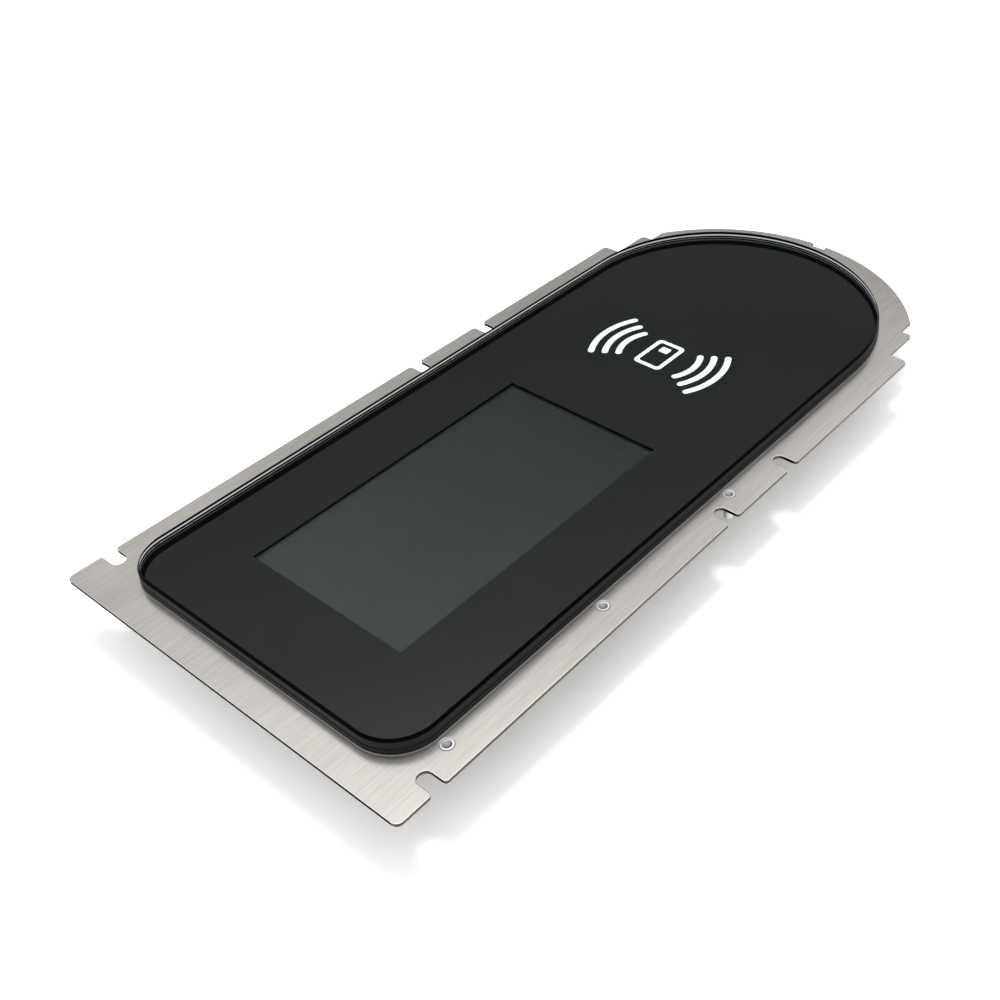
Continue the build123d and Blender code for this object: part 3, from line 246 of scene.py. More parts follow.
# polished here is a painted highlight: where the bevel's rounded normal turns from the face's own, the steel's colour
# is mixed towards white.
polished = add(tree, "MapRange", {"Value": turned, "From Min": 0.995, "From Max": 0.93})
steel = add(tree, "Mix", {"Factor": polished, "A": steel, "B": linear("#FFFFFF")}, data_type="RGBA")
colour = add(tree, "Mix", {"Factor": on_edge, "A": steel, "B": cut}, data_type="RGBA")
satin = add(tree, "MapRange", {"Value": clouds, "From Min": 0.3, "From Max": 0.7, "To Min": 0.27, "To Max": 0.33})
relief = add(tree, "Bump", {"Strength": 0.10, "Distance": 0.02 * MM, "Height": groove, "Normal": rounded})
over = add(tree, "VectorMath", {0: flat, 1: (0.0, 1.0, 0.0)}, operation="CROSS_PRODUCT")
metal = add(tree, "BsdfPrincipled", {"Base Color": colour, "Metallic": 1.0, "Roughness": satin, "Normal": relief,
                                     "Anisotropic": 0.55, "Tangent": over.outputs["Vector"]})
add(tree, "OutputMaterial", {"Surface": metal})
finishes["brushed_stainless"] = finish
print("grooves drawn", GROOVE[0], "mm wide; plate", round(plate_high - plate_low, 2), "mm thick")

# %% [markdown]
# ## Pressed steel studs
# A flush stud is pressed into the sheet until its head is level. The press tool leaves a shallow matt dish in the
# head and a burnished ring round it, and the ring is what catches the light: its shine is its lower roughness,
# and its near-white colour is a painted highlight. The shank behind the plate carries a rolled M4 thread, 0.7 mm
# from crest to crest, which is drawn as relief because its solid is plain.

# %% The studs
HEAD, DISH, THREAD_PITCH = 5.6, 3.9, 0.7            # mm
DISH_RIM = (0.10, -0.25)        # mm from the dish's edge, where the burnished ring ends and where the dish is matt
JOINT = 0.18                    # mm, the dark line between head and sheet
TOOL_MARK = 0.3                 # mm
STUDS_A_SIDE = 3
studs_low, studs_high = [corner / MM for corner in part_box("clinch_studs")]
stud_x, first_stud = studs_high.x - HEAD / 2, studs_low.y + HEAD / 2
stud_step = (studs_high.y - studs_low.y - HEAD) / (STUDS_A_SIDE - 1)
finish, tree, place = begin("pressed_stainless_stud")
spot = add(tree, "SeparateXYZ", {0: place})
side = add(tree, "Math", {0: spot.outputs["X"]}, operation="ABSOLUTE")
side = add(tree, "Math", {0: side, 1: stud_x}, operation="SUBTRACT")
along = add(tree, "Math", {0: spot.outputs["Y"], 1: first_stud}, operation="SUBTRACT")
along = add(tree, "Math", {0: along, 1: stud_step / 2, 2: -stud_step / 2}, operation="WRAP")
from_axis = add(tree, "CombineXYZ", {"X": side, "Y": along})
from_axis = add(tree, "VectorMath", {0: from_axis}, operation="LENGTH").outputs["Value"]
in_dish = {"Value": from_axis, "From Min": DISH / 2 + DISH_RIM[0], "From Max": DISH / 2 + DISH_RIM[1]}
in_dish = add(tree, "MapRange", in_dish)
in_joint = add(tree, "Math", {0: from_axis, 1: HEAD / 2 - JOINT}, operation="GREATER_THAN")
tool_marks = add(tree, "TexNoise", {"Vector": place, "Scale": 1 / TOOL_MARK, "Detail": 3.0})
matt = add(tree, "Mix", {"Factor": tool_marks, "A": linear("#A3A8AE"), "B": linear("#B9BEC3")}, data_type="RGBA")
# The ring round the dish is painted near white as a painted highlight. Its lower roughness is the real burnish.
colour = add(tree, "Mix", {"Factor": in_dish, "A": linear("#FFFEFC"), "B": matt}, data_type="RGBA")
colour = add(tree, "Mix", {"Factor": in_joint, "A": colour, "B": linear("#6A6763")}, data_type="RGBA")
polish = add(tree, "MapRange", {"Value": in_dish, "To Min": 0.40, "To Max": 0.62})
thread = add(tree, "Math", {0: spot.outputs["Z"], 1: 2 * pi / THREAD_PITCH}, operation="MULTIPLY")
thread = add(tree, "Math", {0: thread}, operation="SINE")
relief = add(tree, "Bump", {"Strength": 0.9, "Distance": 0.2 * MM, "Height": thread})
metal = add(tree, "BsdfPrincipled", {"Base Color": colour, "Metallic": 1.0, "Roughness": polish, "Normal": relief})
add(tree, "OutputMaterial", {"Surface": metal})
finishes["stud_steel"] = finish
stud_rows = [round(first_stud + i * stud_step, 1) for i in range(STUDS_A_SIDE)]
print("stud rows at", stud_rows, "mm, thread pitch", THREAD_PITCH)

# %% [markdown]
# ## Black anodised aluminium
# The frame that carries the glass is milled from aluminium, bead blasted and dyed black. Blasting leaves pits
# of about a tenth of a millimetre, and the oxide over them has a soft satin shine. The outer corners are painted
# slightly lighter: partly dye rubbed off by handling, partly a painted highlight along the edge.

# %% The frame
PIT, DYE_PATCH = 0.25, 18       # mm; the real pits are about 0.1 mm and wouldn't show
WORN_AND_HIGHLIT_EDGE = 0.3                    # mm of each corner
finish, tree, place = begin("black_anodised_aluminium")
pits = add(tree, "TexNoise", {"Vector": place, "Scale": 1 / PIT, "Detail": 4.0, "Roughness": 0.6})
dye = add(tree, "TexNoise", {"Vector": place, "Scale": 1 / DYE_PATCH, "Detail": 2.0})
black = add(tree, "Mix", {"Factor": dye, "A": linear("#060607"), "B": linear("#0B0B0C")}, data_type="RGBA")
rounded, flat, turned = corners(tree, WORN_AND_HIGHLIT_EDGE, samples=4)
# Lighter corners: partly dye rubbed off by handling, partly a painted highlight along the edge.
worn_and_highlit = add(tree, "MapRange", {"Value": turned, "From Min": 0.995, "From Max": 0.80, "To Max": 0.30})
colour = add(tree, "Mix", {"Factor": worn_and_highlit, "A": black, "B": linear("#4A4C50")}, data_type="RGBA")
satin = add(tree, "MapRange", {"Value": pits, "From Min": 0.3, "From Max": 0.7, "To Min": 0.36, "To Max": 0.50})
relief = add(tree, "Bump", {"Strength": 0.25, "Distance": 0.03 * MM, "Height": pits, "Normal": rounded})
oxide = add(tree, "BsdfPrincipled", {"Base Color": colour, "Roughness": satin, "Normal": relief,
                                     "Specular IOR Level": 0.14, "IOR": 1.6})
add(tree, "OutputMaterial", {"Surface": oxide})
finishes["black_anodised_aluminium"] = finish
print("blasting pits drawn", PIT, "mm across")

# %% [markdown]
# ## The cover glass
# One sheet of toughened soda-lime glass, 4 mm thick, with a ground bevel. Seen through it are the black print,
# the white mark and the switched-off display, so its two flat faces are clear. What makes glass glass to the
# eye is its mirror, a few percent head on and nearly all of the light at a glancing angle. The print and the
# display are bonded to the sheet and act as one polished surface with it, so they carry that mirror: a sheet that
# is clear and mirror at once makes the renderer pick one at each ray, which gives a grainy picture. Light caught
# inside the sheet leaves by the edge, and here that is a painted glow: from within, the edge's inner side emits
# a pale line between two dark ones. From outside the edge is nearly black.

# %% The glass
GLASS_IOR, GLASS_MIRROR = 1.52, 0.52                # of soda-lime glass, and its specular level
SMEAR, GRIND = 30, 0.4          # mm
PAINTED_GLOW_LINE = [(0.24, 0), (0.29, 1), (0.43, 1), (0.49, 0)]        # shares of the edge's height, and the painted glow there
BEVEL_FACING, WALL_FACING = 0.9, 0.3                # a face that looks up less than this is bevel, or upright wall
finish, tree, place = begin("polished_soda_lime_glass")
smears = add(tree, "TexNoise", {"Vector": place, "Scale": 1 / SMEAR, "Detail": 4.0, "Roughness": 0.6})
tint = add(tree, "Mix", {"Factor": smears, "A": linear("#FBFCFC"), "B": linear("#F7F9F9")}, data_type="RGBA")
sheet = add(tree, "BsdfTransparent", {"Color": tint})
inside = add(tree, "NewGeometry").outputs["Backfacing"]
outside = add(tree, "Math", {0: 1.0, 1: inside}, operation="SUBTRACT")
glass_low, glass_high = [corner.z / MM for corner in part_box("cover_glass")]
facing = add(tree, "SeparateXYZ", {0: add(tree, "TexCoord").outputs["Normal"]}).outputs["Z"]
facing = add(tree, "Math", {0: facing}, operation="ABSOLUTE")
on_edge = add(tree, "Math", {0: facing, 1: BEVEL_FACING}, operation="LESS_THAN")
level = add(tree, "SeparateXYZ", {0: place}).outputs["Z"]
share = add(tree, "MapRange", {"Value": level, "From Min": glass_low, "From Max": glass_high})
# A painted glow: the inner side of the edge emits a pale band, standing in for light that comes in through the ground
# edge.
glow = add(tree, "ValToRGB", {0: share})
stops = glow.color_ramp.elements
stops[0].position, stops[1].position = PAINTED_GLOW_LINE[0][0], PAINTED_GLOW_LINE[1][0]
for height, light in PAINTED_GLOW_LINE[2:]:
    stops.new(height)
for stop, (height, light) in zip(stops, PAINTED_GLOW_LINE):
    stop.color = (light, light, light, 1)
glow = add(tree, "Math", {0: glow, 1: inside}, operation="MULTIPLY")
grind = add(tree, "TexNoise", {"Vector": place, "Scale": 1 / GRIND, "Detail": 2.0})
upright = add(tree, "Math", {0: facing, 1: WALL_FACING}, operation="LESS_THAN")
upright = add(tree, "Math", {0: upright, 1: outside}, operation="MULTIPLY")
wall = add(tree, "Mix", {"Factor": grind, "A": linear("#26292C"), "B": linear("#2F3236")}, data_type="RGBA")
edge = add(tree, "Mix", {"Factor": upright, "A": linear("#030303"), "B": wall}, data_type="RGBA")
edge = add(tree, "BsdfPrincipled", {"Base Color": edge, "Roughness": 0.35, "Specular IOR Level": 0.03,
                                    "IOR": GLASS_IOR, "Emission Color": linear("#BCC0C0"),
                                    "Emission Strength": glow})
add(tree, "OutputMaterial", {"Surface": add(tree, "MixShader", {0: on_edge, 1: sheet, 2: edge})})
finishes["cover_glass"] = finish
print("glass edge", round(glass_high - glass_low, 1), "mm tall")

# %% [markdown]
# ## Screen-printed enamel
# The black border and the white mark are ceramic ink, squeezed through a fine mesh on to the glass's back and
# fired. Up close the mesh leaves a faint even speckle, drawn 1.2 mm from dot to dot, and the ink's thickness
# wanders a little, so neither colour is perfectly flat. Fused to the glass, they share its polish.

# %% Black and white print
MESH_DOT, INK_PATCH = 1.2, 25   # mm
SPECKLE = 0.2                   # how much of the ink's change comes from the mesh


def enamel(name, thin, thick):
    """Fired ink, between the hex colours of a thin coat and a thick one."""
    finish, tree, place = begin(name)
    mesh = add(tree, "TexVoronoi", {"Vector": place, "Scale": 1 / MESH_DOT}).outputs["Distance"]
    drift = add(tree, "TexNoise", {"Vector": place, "Scale": 1 / INK_PATCH, "Detail": 2.0})
    cover = add(tree, "Math", {0: mesh, 1: SPECKLE, 2: drift}, operation="MULTIPLY_ADD")
    ink = add(tree, "Mix", {"Factor": cover, "A": linear(thin), "B": linear(thick)}, data_type="RGBA")
    gloss = add(tree, "MapRange", {"Value": drift, "From Min": 0.3, "From Max": 0.7, "To Min": 0.05, "To Max": 0.09})
    fired = add(tree, "BsdfPrincipled", {"Base Color": ink, "Roughness": gloss, "IOR": GLASS_IOR,
                                         "Specular IOR Level": GLASS_MIRROR})
    add(tree, "OutputMaterial", {"Surface": fired})
    print(name, thin, "to", thick)
    return finish


finishes["black_print"] = enamel("black_ceramic_enamel", "#060607", "#090A0B")
finishes["white_print"] = enamel("white_ceramic_enamel", "#E2E7E9", "#EAEEF0")

# %% [markdown]
# ## The display stack
# Under the glass lie a clear bond, the touch sensor and the display cell. Switched off, the display is a dark
# neutral grey, because its top film absorbs most of the light; it is painted darker towards the arch end, as
# painted shade. The bond and the sensor are almost invisible: the sensor's conductive grid, 5 mm from line to
# line, only changes what passes by a percent or two.

# %% Bond and touch sensor
ENDLESS = 1000.0                # mm, longer than the module, for a direction in which a pattern doesn't repeat


def clear_layer(name, tint, line_tint, line_step, line_width):
    """A clear sheet with a square grid of lines; step and width are in millimetres."""
    finish, tree, place = begin(name)
    cell = add(tree, "VectorMath", {0: place, 1: (line_step, line_step, ENDLESS)}, operation="MODULO")
    cell = add(tree, "VectorMath", {0: cell}, operation="ABSOLUTE")
    cell = add(tree, "SeparateXYZ", {0: cell})
    nearest = add(tree, "Math", {0: cell.outputs["X"], 1: cell.outputs["Y"]}, operation="MINIMUM")
    on_line = add(tree, "Math", {0: nearest, 1: line_width}, operation="LESS_THAN")
    colour = add(tree, "Mix", {"Factor": on_line, "A": linear(tint), "B": linear(line_tint)}, data_type="RGBA")
    add(tree, "OutputMaterial", {"Surface": add(tree, "BsdfTransparent", {"Color": colour})})
    print(name, "lines every", line_step, "mm")
    return finish


finishes["clear_bond"] = clear_layer("optically_clear_adhesive", "#FDFDFD", "#FCFCFC", line_step=40.0, line_width=0.4)
finishes["sensor_glass"] = clear_layer("coated_sensor_glass", "#FCFCFC", "#F9FAFA", line_step=5.0, line_width=0.15)

# %% The display's top film
DOT_STEP, DOT_GAP = 0.25, 0.03  # mm; the real dots are 0.09 mm apart and wouldn't show
finish, tree, place = begin("display_polariser_film")
dots = add(tree, "VectorMath", {0: place, 1: (DOT_STEP, DOT_STEP, ENDLESS)}, operation="MODULO")
dots = add(tree, "SeparateXYZ", {0: add(tree, "VectorMath", {0: dots}, operation="ABSOLUTE")})
between = add(tree, "Math", {0: dots.outputs["X"], 1: dots.outputs["Y"]}, operation="MINIMUM")
between = add(tree, "Math", {0: between, 1: DOT_GAP}, operation="LESS_THAN")
display_low, display_high = [corner.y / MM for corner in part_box("lcd_cell")]
# Painted shade: the display's grey darkens towards the arch end.
rise = add(tree, "SeparateXYZ", {0: place}).outputs["Y"]
rise = add(tree, "MapRange", {"Value": rise, "From Min": display_low, "From Max": display_high})
grey = add(tree, "Mix", {"Factor": rise, "A": linear("#393A3B"), "B": linear("#1F2021")}, data_type="RGBA")
grey = add(tree, "Mix", {"Factor": between, "A": grey, "B": linear("#262727")}, data_type="RGBA")
film = add(tree, "BsdfPrincipled", {"Base Color": grey, "Roughness": 0.07, "Specular IOR Level": GLASS_MIRROR,
                                    "IOR": GLASS_IOR})
add(tree, "OutputMaterial", {"Surface": film})
finishes["polariser"] = finish
print("display dots drawn", DOT_STEP, "mm apart")

# %% [markdown]
# ## Moulded plastics
# The rear housing, the connectors and the buttons are injection moulded. A mould that has been spark eroded
# leaves a fine even grain, polished moulds leave almost none, and every moulding shows slow changes of shine
# where the plastic flowed and lighter edges where it has been handled. One recipe makes them all, from the
# colour, the shine, and the width and depth of the grain.

# %% One recipe for mouldings
FLOW, HANDLED = 22, 0.25        # mm: the width of the slow changes, and of the lighter edges


def moulded(name, dark, light, shine, grain, depth, ior=1.53):
    """Shine is a roughness; grain and depth are in millimetres."""
    finish, tree, place = begin(name)
    spark = add(tree, "TexNoise", {"Vector": place, "Scale": 1 / grain, "Detail": 3.0, "Roughness": 0.55})
    flow = add(tree, "TexNoise", {"Vector": place, "Scale": 1 / FLOW, "Detail": 3.0, "Distortion": 0.6})
    colour = add(tree, "Mix", {"Factor": flow, "A": linear(dark), "B": linear(light)}, data_type="RGBA")
    rounded, flat, turned = corners(tree, HANDLED, samples=4)
    handled = add(tree, "MapRange", {"Value": turned, "From Min": 0.995, "From Max": 0.8, "To Max": 0.25})
    pale = add(tree, "Mix", {"Factor": 0.35, "A": linear(light), "B": (0.5, 0.5, 0.5, 1)}, data_type="RGBA")
    colour = add(tree, "Mix", {"Factor": handled, "A": colour, "B": pale}, data_type="RGBA")
    gloss = add(tree, "MapRange", {"Value": flow, "From Min": 0.3, "From Max": 0.7,
                                   "To Min": shine - 0.05, "To Max": shine + 0.05})
    relief = add(tree, "Bump", {"Strength": 0.5, "Distance": depth * MM, "Height": spark, "Normal": rounded})
    skin = add(tree, "BsdfPrincipled", {"Base Color": colour, "Roughness": gloss, "Normal": relief, "IOR": ior})
    add(tree, "OutputMaterial", {"Surface": skin})
    print(name, "grain", grain, "mm, roughness", shine)
    return finish


# %% The mouldings
MOULDINGS = [                   # finish, material, dark and light tone, roughness, grain, its depth, own IOR
    ("black_abs", "spark_textured_black_abs", "#1F2022", "#292A2C", 0.55, 0.45, 0.05),
    ("connector_plastic", "moulded_black_nylon", "#1A1A1B", "#232324", 0.48, 0.30, 0.02),
    ("green_header_plastic", "moulded_green_polyamide", "#2E8447", "#3A9654", 0.42, 0.30, 0.02),
    ("red_button_plastic", "moulded_red_acetal", "#B3221C", "#C62D25", 0.32, 0.20, 0.01),
    ("white_acetal", "turned_white_acetal", "#DEDDD8", "#EBEAE6", 0.35, 0.20, 0.01),
    ("card_plastic", "laminated_card_plastic", "#DAD9D4", "#E8E7E3", 0.30, 0.60, 0.005),
    ("chip_epoxy", "moulded_chip_epoxy", "#202022", "#2A2A2C", 0.60, 0.15, 0.02),
    ("speaker_body", "moulded_speaker_basket", "#242426", "#2E2E31", 0.50, 0.40, 0.03),
    ("ferrite", "sintered_ferrite_sheet", "#3B3A3C", "#49484A", 0.62, 0.12, 0.02),
    ("acrylic_light_guide", "frosted_acrylic_sheet", "#E4E6E8", "#F1F3F4", 0.25, 1.2, 0.01, 1.49),
]
for slot, *recipe in MOULDINGS:
    finishes[slot] = moulded(*recipe)

# %% [markdown]
# ## Foam
# Gaskets and tape are closed-cell foam, cut from sheet. Their cells are about a quarter of a millimetre across
# and each is a tiny matt cup, so the foam looks soft and takes no highlight.

# %% Gasket foam and foam tape
def foam(name, dark, light, cell):
    """Cell is the width of one cell in millimetres."""
    finish, tree, place = begin(name)
    cells = add(tree, "TexVoronoi", {"Vector": place, "Scale": 1 / cell}).outputs["Distance"]
    colour = add(tree, "Mix", {"Factor": cells, "A": linear(dark), "B": linear(light)}, data_type="RGBA")
    relief = add(tree, "Bump", {"Strength": 0.8, "Distance": 0.3 * cell * MM, "Height": cells})
    skin = add(tree, "BsdfPrincipled", {"Base Color": colour, "Roughness": 0.9, "Normal": relief, "Sheen Weight": 0.1})
    add(tree, "OutputMaterial", {"Surface": skin})
    print(name, "cells", cell, "mm")
    return finish


finishes["closed_cell_foam"] = foam("black_neoprene_foam", "#0E0E0F", "#222224", 0.25)
finishes["foam_tape"] = foam("black_acrylic_foam_tape", "#0B0B0C", "#18181A", 0.20)

# %% [markdown]
# ## Plated and bright metals
# Straps and shields are sheet steel with a thin bright plating, screws are cold headed, caps and cans are drawn.
# All of them are metals with fine scratches in no special direction, a little unevenness in their shine, and a
# tint: zinc is bluish, tin is warm, nickel is warmer still, brass and copper have their own colour.

# %% One recipe for bright metals
WANDER, WANDER_LENGTH = 9, 12   # mm: how far a scratch strays from a straight line, and over what length
SCRATCH_LENGTH = 12             # times its width


def bright_metal(name, dark, light, shine, scratch, clouding):
    """Shine is a roughness; scratch and clouding are widths in millimetres."""
    finish, tree, place = begin(name)
    bent = add(tree, "TexNoise", {"Vector": place, "Scale": 1 / WANDER_LENGTH, "Detail": 1.0}).outputs["Color"]
    bent = add(tree, "VectorMath", {0: bent, 1: (WANDER, WANDER, WANDER), 2: place}, operation="MULTIPLY_ADD")
    lines = add(tree, "Mapping", {"Vector": bent, "Scale": (1 / scratch, 1 / (SCRATCH_LENGTH * scratch), 1 / scratch)})
    lines = add(tree, "TexNoise", {"Vector": lines, "Scale": 1.0, "Detail": 3.0})
    cloud = add(tree, "TexNoise", {"Vector": place, "Scale": 1 / clouding, "Detail": 3.0})
    colour = add(tree, "Mix", {"Factor": cloud, "A": linear(dark), "B": linear(light)}, data_type="RGBA")
    gloss = add(tree, "MapRange", {"Value": lines, "From Min": 0.3, "From Max": 0.7,
                                   "To Min": shine - 0.06, "To Max": shine + 0.08})
    relief = add(tree, "Bump", {"Strength": 0.2, "Distance": 0.02 * MM, "Height": lines})
    metal = add(tree, "BsdfPrincipled", {"Base Color": colour, "Metallic": 1.0, "Roughness": gloss, "Normal": relief})
    add(tree, "OutputMaterial", {"Surface": metal})
    print(name, "roughness", shine)
    return finish


# %% The bright metals
METALS = [                      # finish, material, dark and light tone, roughness, scratch and clouding
    ("zinc_plated_steel", "zinc_plated_steel", "#B4B8BF", "#D2D6DC", 0.34, 0.20, 6),
    ("screw_steel", "cold_headed_stainless_screw", "#A9A8A6", "#CBCAC7", 0.28, 0.15, 2),
    ("tin_plate", "bright_tin_plate", "#B9B8B4", "#D8D7D3", 0.26, 0.20, 5),
    ("capacitor_can", "drawn_aluminium_can", "#BDBFC1", "#DADCDD", 0.32, 0.15, 3),
    ("battery_steel", "polished_battery_steel", "#BFBEBB", "#DEDDDA", 0.20, 0.15, 5),
    ("nickel_plated_brass", "nickel_plated_brass", "#C0B9A8", "#DDD6C6", 0.22, 0.15, 3),
    ("insert_brass", "knurled_brass_insert", "#C79F4E", "#DDBB6C", 0.30, 0.20, 2),
    ("copper_track", "bare_copper_track", "#C77C52", "#DE9A70", 0.30, 0.20, 4),
    ("natural_aluminium", "extruded_natural_aluminium", "#BFC1C3", "#D9DBDC", 0.38, 0.30, 8),
]
for slot, *recipe in METALS:
    finishes[slot] = bright_metal(*recipe)

# %% [markdown]
# ## Circuit boards and ribbons
# A board is glass-fibre laminate under green solder mask. Copper tracks show through the mask as a lighter green
# pattern of straight runs, about 0.3 mm wide, drawn wider here so that they show. A ribbon is amber polyimide
# film over straight copper lines, 0.5 mm apart.

# %% Green solder mask
TRACK_STEP, TRACK_WIDTH, WEAVE = 1.6, 0.44, 0.8     # mm
TRACK_RUN = 7 * TRACK_STEP      # from one joint between tracks to the next
finish, tree, place = begin("green_solder_mask")
runs = add(tree, "TexBrick", {"Vector": place, "Scale": 1.0, "Mortar Size": TRACK_WIDTH / 2,
                              "Mortar Smooth": 0.1, "Brick Width": TRACK_RUN, "Row Height": TRACK_STEP,
                              "Color1": linear("#0F5A2F"), "Color2": linear("#136838"), "Mortar": linear("#2B8A50")})
weave = add(tree, "TexNoise", {"Vector": place, "Scale": 1 / WEAVE, "Detail": 2.0})
colour = {"Factor": 0.12, "A": runs.outputs["Color"], "B": weave.outputs["Color"]}
colour = add(tree, "Mix", colour, data_type="RGBA", blend_type="OVERLAY")
relief = add(tree, "Bump", {"Strength": 0.3, "Distance": 0.03 * MM, "Height": runs.outputs["Fac"]})
mask = add(tree, "BsdfPrincipled", {"Base Color": colour, "Roughness": 0.28, "Normal": relief, "IOR": 1.55})
add(tree, "OutputMaterial", {"Surface": mask})
finishes["circuit_board"] = finish
print("tracks every", TRACK_STEP, "mm")

# %% Amber ribbon
LINE_STEP = 1.0                 # mm; the real lines are 0.5 mm apart
finish, tree, place = begin("amber_polyimide_ribbon")
lines = add(tree, "VectorMath", {0: place, 1: (LINE_STEP, ENDLESS, ENDLESS)}, operation="MODULO")
lines = add(tree, "Math", {0: add(tree, "SeparateXYZ", {0: lines}).outputs["X"]}, operation="ABSOLUTE")
lines = add(tree, "Math", {0: lines, 1: LINE_STEP / 2}, operation="LESS_THAN")
colour = add(tree, "Mix", {"Factor": lines, "A": linear("#B87A28"), "B": linear("#8C4F16")}, data_type="RGBA")
relief = add(tree, "Bump", {"Strength": 0.3, "Distance": 0.03 * MM, "Height": lines})
film = add(tree, "BsdfPrincipled", {"Base Color": colour, "Roughness": 0.25, "Normal": relief, "IOR": 1.70})
add(tree, "OutputMaterial", {"Surface": film})
finishes["polyimide_ribbon"] = finish
print("ribbon lines every", LINE_STEP, "mm")

# %% [markdown]
# ## Dressing the solids
# The record says which finish each solid has. Each one gets that material in its first slot, and a slot that
# has no recipe stops the script here.

# %% Give every solid its finish
for part in frame["record"]["subparts"]:
    mesh = nodes[part["node"]].data
    mesh.materials.clear()
    mesh.materials.append(finishes[part["material_slot"]])

# %% [markdown]
# ## Two touches that clear layers need
# The print is bonded to the back of the glass, so both solids have a face in the same plane, and a ray can't tell
# which comes first. Shrinking the glass by a fiftieth of a millimetre with a modifier settles it. A look at the
# display passes six clear faces on the way in and the light six more, so the renderer is allowed more of them.

# %% Part the glass from its print
GLASS_SHRINK = 0.02             # mm
CLEAR_FACES = 24                # faces that one ray may pass, twice what it needs
gap = nodes["cover_glass"].modifiers.new("gap", "DISPLACE")
gap.mid_level, gap.strength = 0.0, -GLASS_SHRINK * MM
bpy.context.scene.cycles.transparent_max_bounces = CLEAR_FACES
print("glass shrunk by", GLASS_SHRINK, "mm")

# %% [markdown]
# ## The two beads
# A thin bead of grey silicone seals the frame to the plate. It is squeezed out of the joint and smoothed with a
# finger, which leaves a rounded lip less than half a millimetre tall all round the frame's foot. A black one,
# set back a little, closes the joint between the frame and the glass. Both follow the frame's outline: a straight
# foot, two rounded corners, straight sides and a half-circle arch. At each step along the outline stands a ring
# of points with the lip's section, and faces join each ring to the next. One more helper turns such points and
# faces into a piece, and lets it ride on the module's body.

# %% Draw the frame's outline
FOOT_CORNER = 20.0              # mm, as on the frame
ARCH_STEPS, CORNER_STEPS = 96, 24
frame_low, frame_high = [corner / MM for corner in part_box("front_frame")]
half = frame_high.x
arch_y = frame_high.y - half
outline = [(half * cos(a), arch_y + half * sin(a), a) for a in [pi * i / ARCH_STEPS for i in range(ARCH_STEPS + 1)]]
for side, first in ((-1, pi), (1, 1.5 * pi)):
    x, y = side * (half - FOOT_CORNER), frame_low.y + FOOT_CORNER
    bend = [first + pi / 2 / CORNER_STEPS * i for i in range(CORNER_STEPS + 1)]
    outline += [(x + FOOT_CORNER * cos(a), y + FOOT_CORNER * sin(a), a) for a in bend]
print("outline of", len(outline), "points,", round(2 * half, 1), "mm wide")


# %% Points and faces to a piece
def fixed_piece(name, points, faces, finish, smooth):
    """A piece that stays on the module; its points are in millimetres."""
    mesh = bpy.data.meshes.new(name)
    mesh.from_pydata([[MM * value for value in point] for point in points], [], faces)
    solid = bmesh.new()
    solid.from_mesh(mesh)
    bmesh.ops.recalc_face_normals(solid, faces=solid.faces)
    solid.to_mesh(mesh)
    solid.free()
    if smooth:
        mesh.shade_smooth()
    mesh.materials.append(finish)
    piece = bpy.data.objects.new(name, mesh)
    bpy.context.scene.collection.objects.link(piece)
    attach(piece, "root")
    print(name, len(faces), "faces")


# %% Run the beads round the frame
BULGE = 0.6                     # the lip's depth as a share of its height
BEAD_GAP = 0.03                 # mm between a bead and the metal or glass above and below it
DRAG = 3.0                      # mm, the marks of the finger


def bead(name, inner, outer, low, high, finish):
    """A bead between two offsets from the outline, outward positive, and two heights; all in millimetres."""
    bulge, middle, rise = BULGE * (high - low), (low + high) / 2, (high - low) / 2
    section = [(inner, low), (outer - bulge, low)]
    section += [(outer - bulge + bulge * cos(a), middle + rise * sin(a)) for a in [pi / 8 * i for i in range(-3, 4)]]
    section += [(outer - bulge, high), (inner, high)]
    points, faces, ring = [], [], len(section)
    for i, (x, y, a) in enumerate(outline):
        points += [(x + out * cos(a), y + out * sin(a), z) for out, z in section]
        here, there = i * ring, (i + 1) % len(outline) * ring
        faces += [(here + k, there + k, there + (k + 1) % ring, here + (k + 1) % ring) for k in range(ring)]
    fixed_piece(name, points, faces, finish, smooth=True)


def silicone(name, dark, light):
    """Tooled silicone rubber, between two hex colours."""
    finish, tree, place = begin(name)
    drag = add(tree, "TexNoise", {"Vector": place, "Scale": 1 / DRAG, "Detail": 2.0})
    colour = add(tree, "Mix", {"Factor": drag, "A": linear(dark), "B": linear(light)}, data_type="RGBA")
    relief = add(tree, "Bump", {"Strength": 0.4, "Distance": 0.04 * MM, "Height": drag})
    skin = add(tree, "BsdfPrincipled", {"Base Color": colour, "Roughness": 0.34, "Normal": relief, "IOR": 1.41})
    add(tree, "OutputMaterial", {"Surface": skin})
    return finish


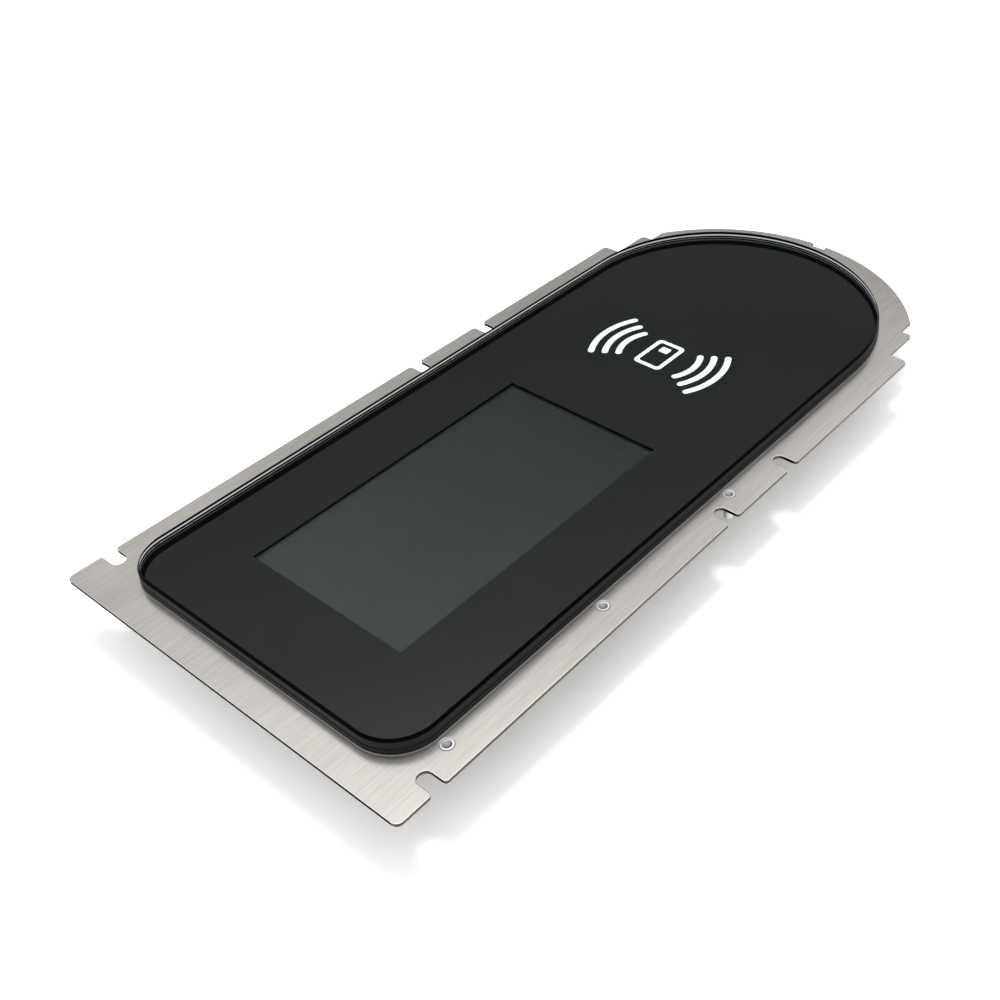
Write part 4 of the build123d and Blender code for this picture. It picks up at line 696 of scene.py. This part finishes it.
bead("foot_bead", inner=-0.30, outer=0.42, low=plate_high + BEAD_GAP, high=frame_low.z - BEAD_GAP,
     finish=silicone("grey_silicone_bead", "#7C7E7E", "#959797"))
bead("glass_bead", inner=-1.20, outer=-0.25, low=frame_high.z + BEAD_GAP, high=glass_low - BEAD_GAP,
     finish=silicone("black_silicone_bead", "#060606", "#0B0B0B"))

# %% [markdown]
# ## Contacts in the network jack
# A network jack has eight spring contacts, each a gold-flashed bronze wire a little under half a millimetre wide
# and 1.02 mm from the next. They hang from the mouth's ceiling near the front, fold back and slope down towards
# the rear, so that a plug pushes them up. Each is a strip swept along four points.

# %% Bend the contacts
CONTACTS = 8
CONTACT_STEP, CONTACT_WIDTH, CONTACT_THICKNESS = 1.02, 0.45, 0.25       # mm
MOUTH_WALL = 1.8                # mm of plastic over the jack's mouth
BENDS = [(4.4, 0.15), (2.6, 0.35), (2.5, 0.95), (11.5, 3.4)]            # mm into the jack, and below the ceiling
jack_low, jack_high = [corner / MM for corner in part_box("network_socket")]
ceiling = jack_high.z - MOUTH_WALL
bends = [(jack_low.y + deep, ceiling - drop) for deep, drop in BENDS]
points, faces = [], []
for number in range(CONTACTS):
    x = (jack_low.x + jack_high.x) / 2 + (number - (CONTACTS - 1) / 2) * CONTACT_STEP
    start = len(points)
    for i, (y, z) in enumerate(bends):
        before, after = bends[max(i - 1, 0)], bends[min(i + 1, len(bends) - 1)]
        run = Vector((after[0] - before[0], after[1] - before[1])).normalized()
        over = Vector((-run.y, run.x)) * CONTACT_THICKNESS / 2
        for side, up in ((-1, -1), (1, -1), (1, 1), (-1, 1)):
            points.append((x + side * CONTACT_WIDTH / 2, y + up * over.x, z + up * over.y))
    last = len(points) - 4
    for here in range(start, last, 4):
        faces += [(here + k, here + 4 + k, here + 4 + (k + 1) % 4, here + (k + 1) % 4) for k in range(4)]
    faces += [(start, start + 1, start + 2, start + 3), (last + 3, last + 2, last + 1, last)]
bronze = bright_metal("gold_flashed_bronze", "#D3A647", "#EBC873", shine=0.22, scratch=0.15, clouding=2)
fixed_piece("jack_contacts", points, faces, bronze, smooth=False)
print(CONTACTS, "contacts across", round((CONTACTS - 1) * CONTACT_STEP + CONTACT_WIDTH, 2), "mm")
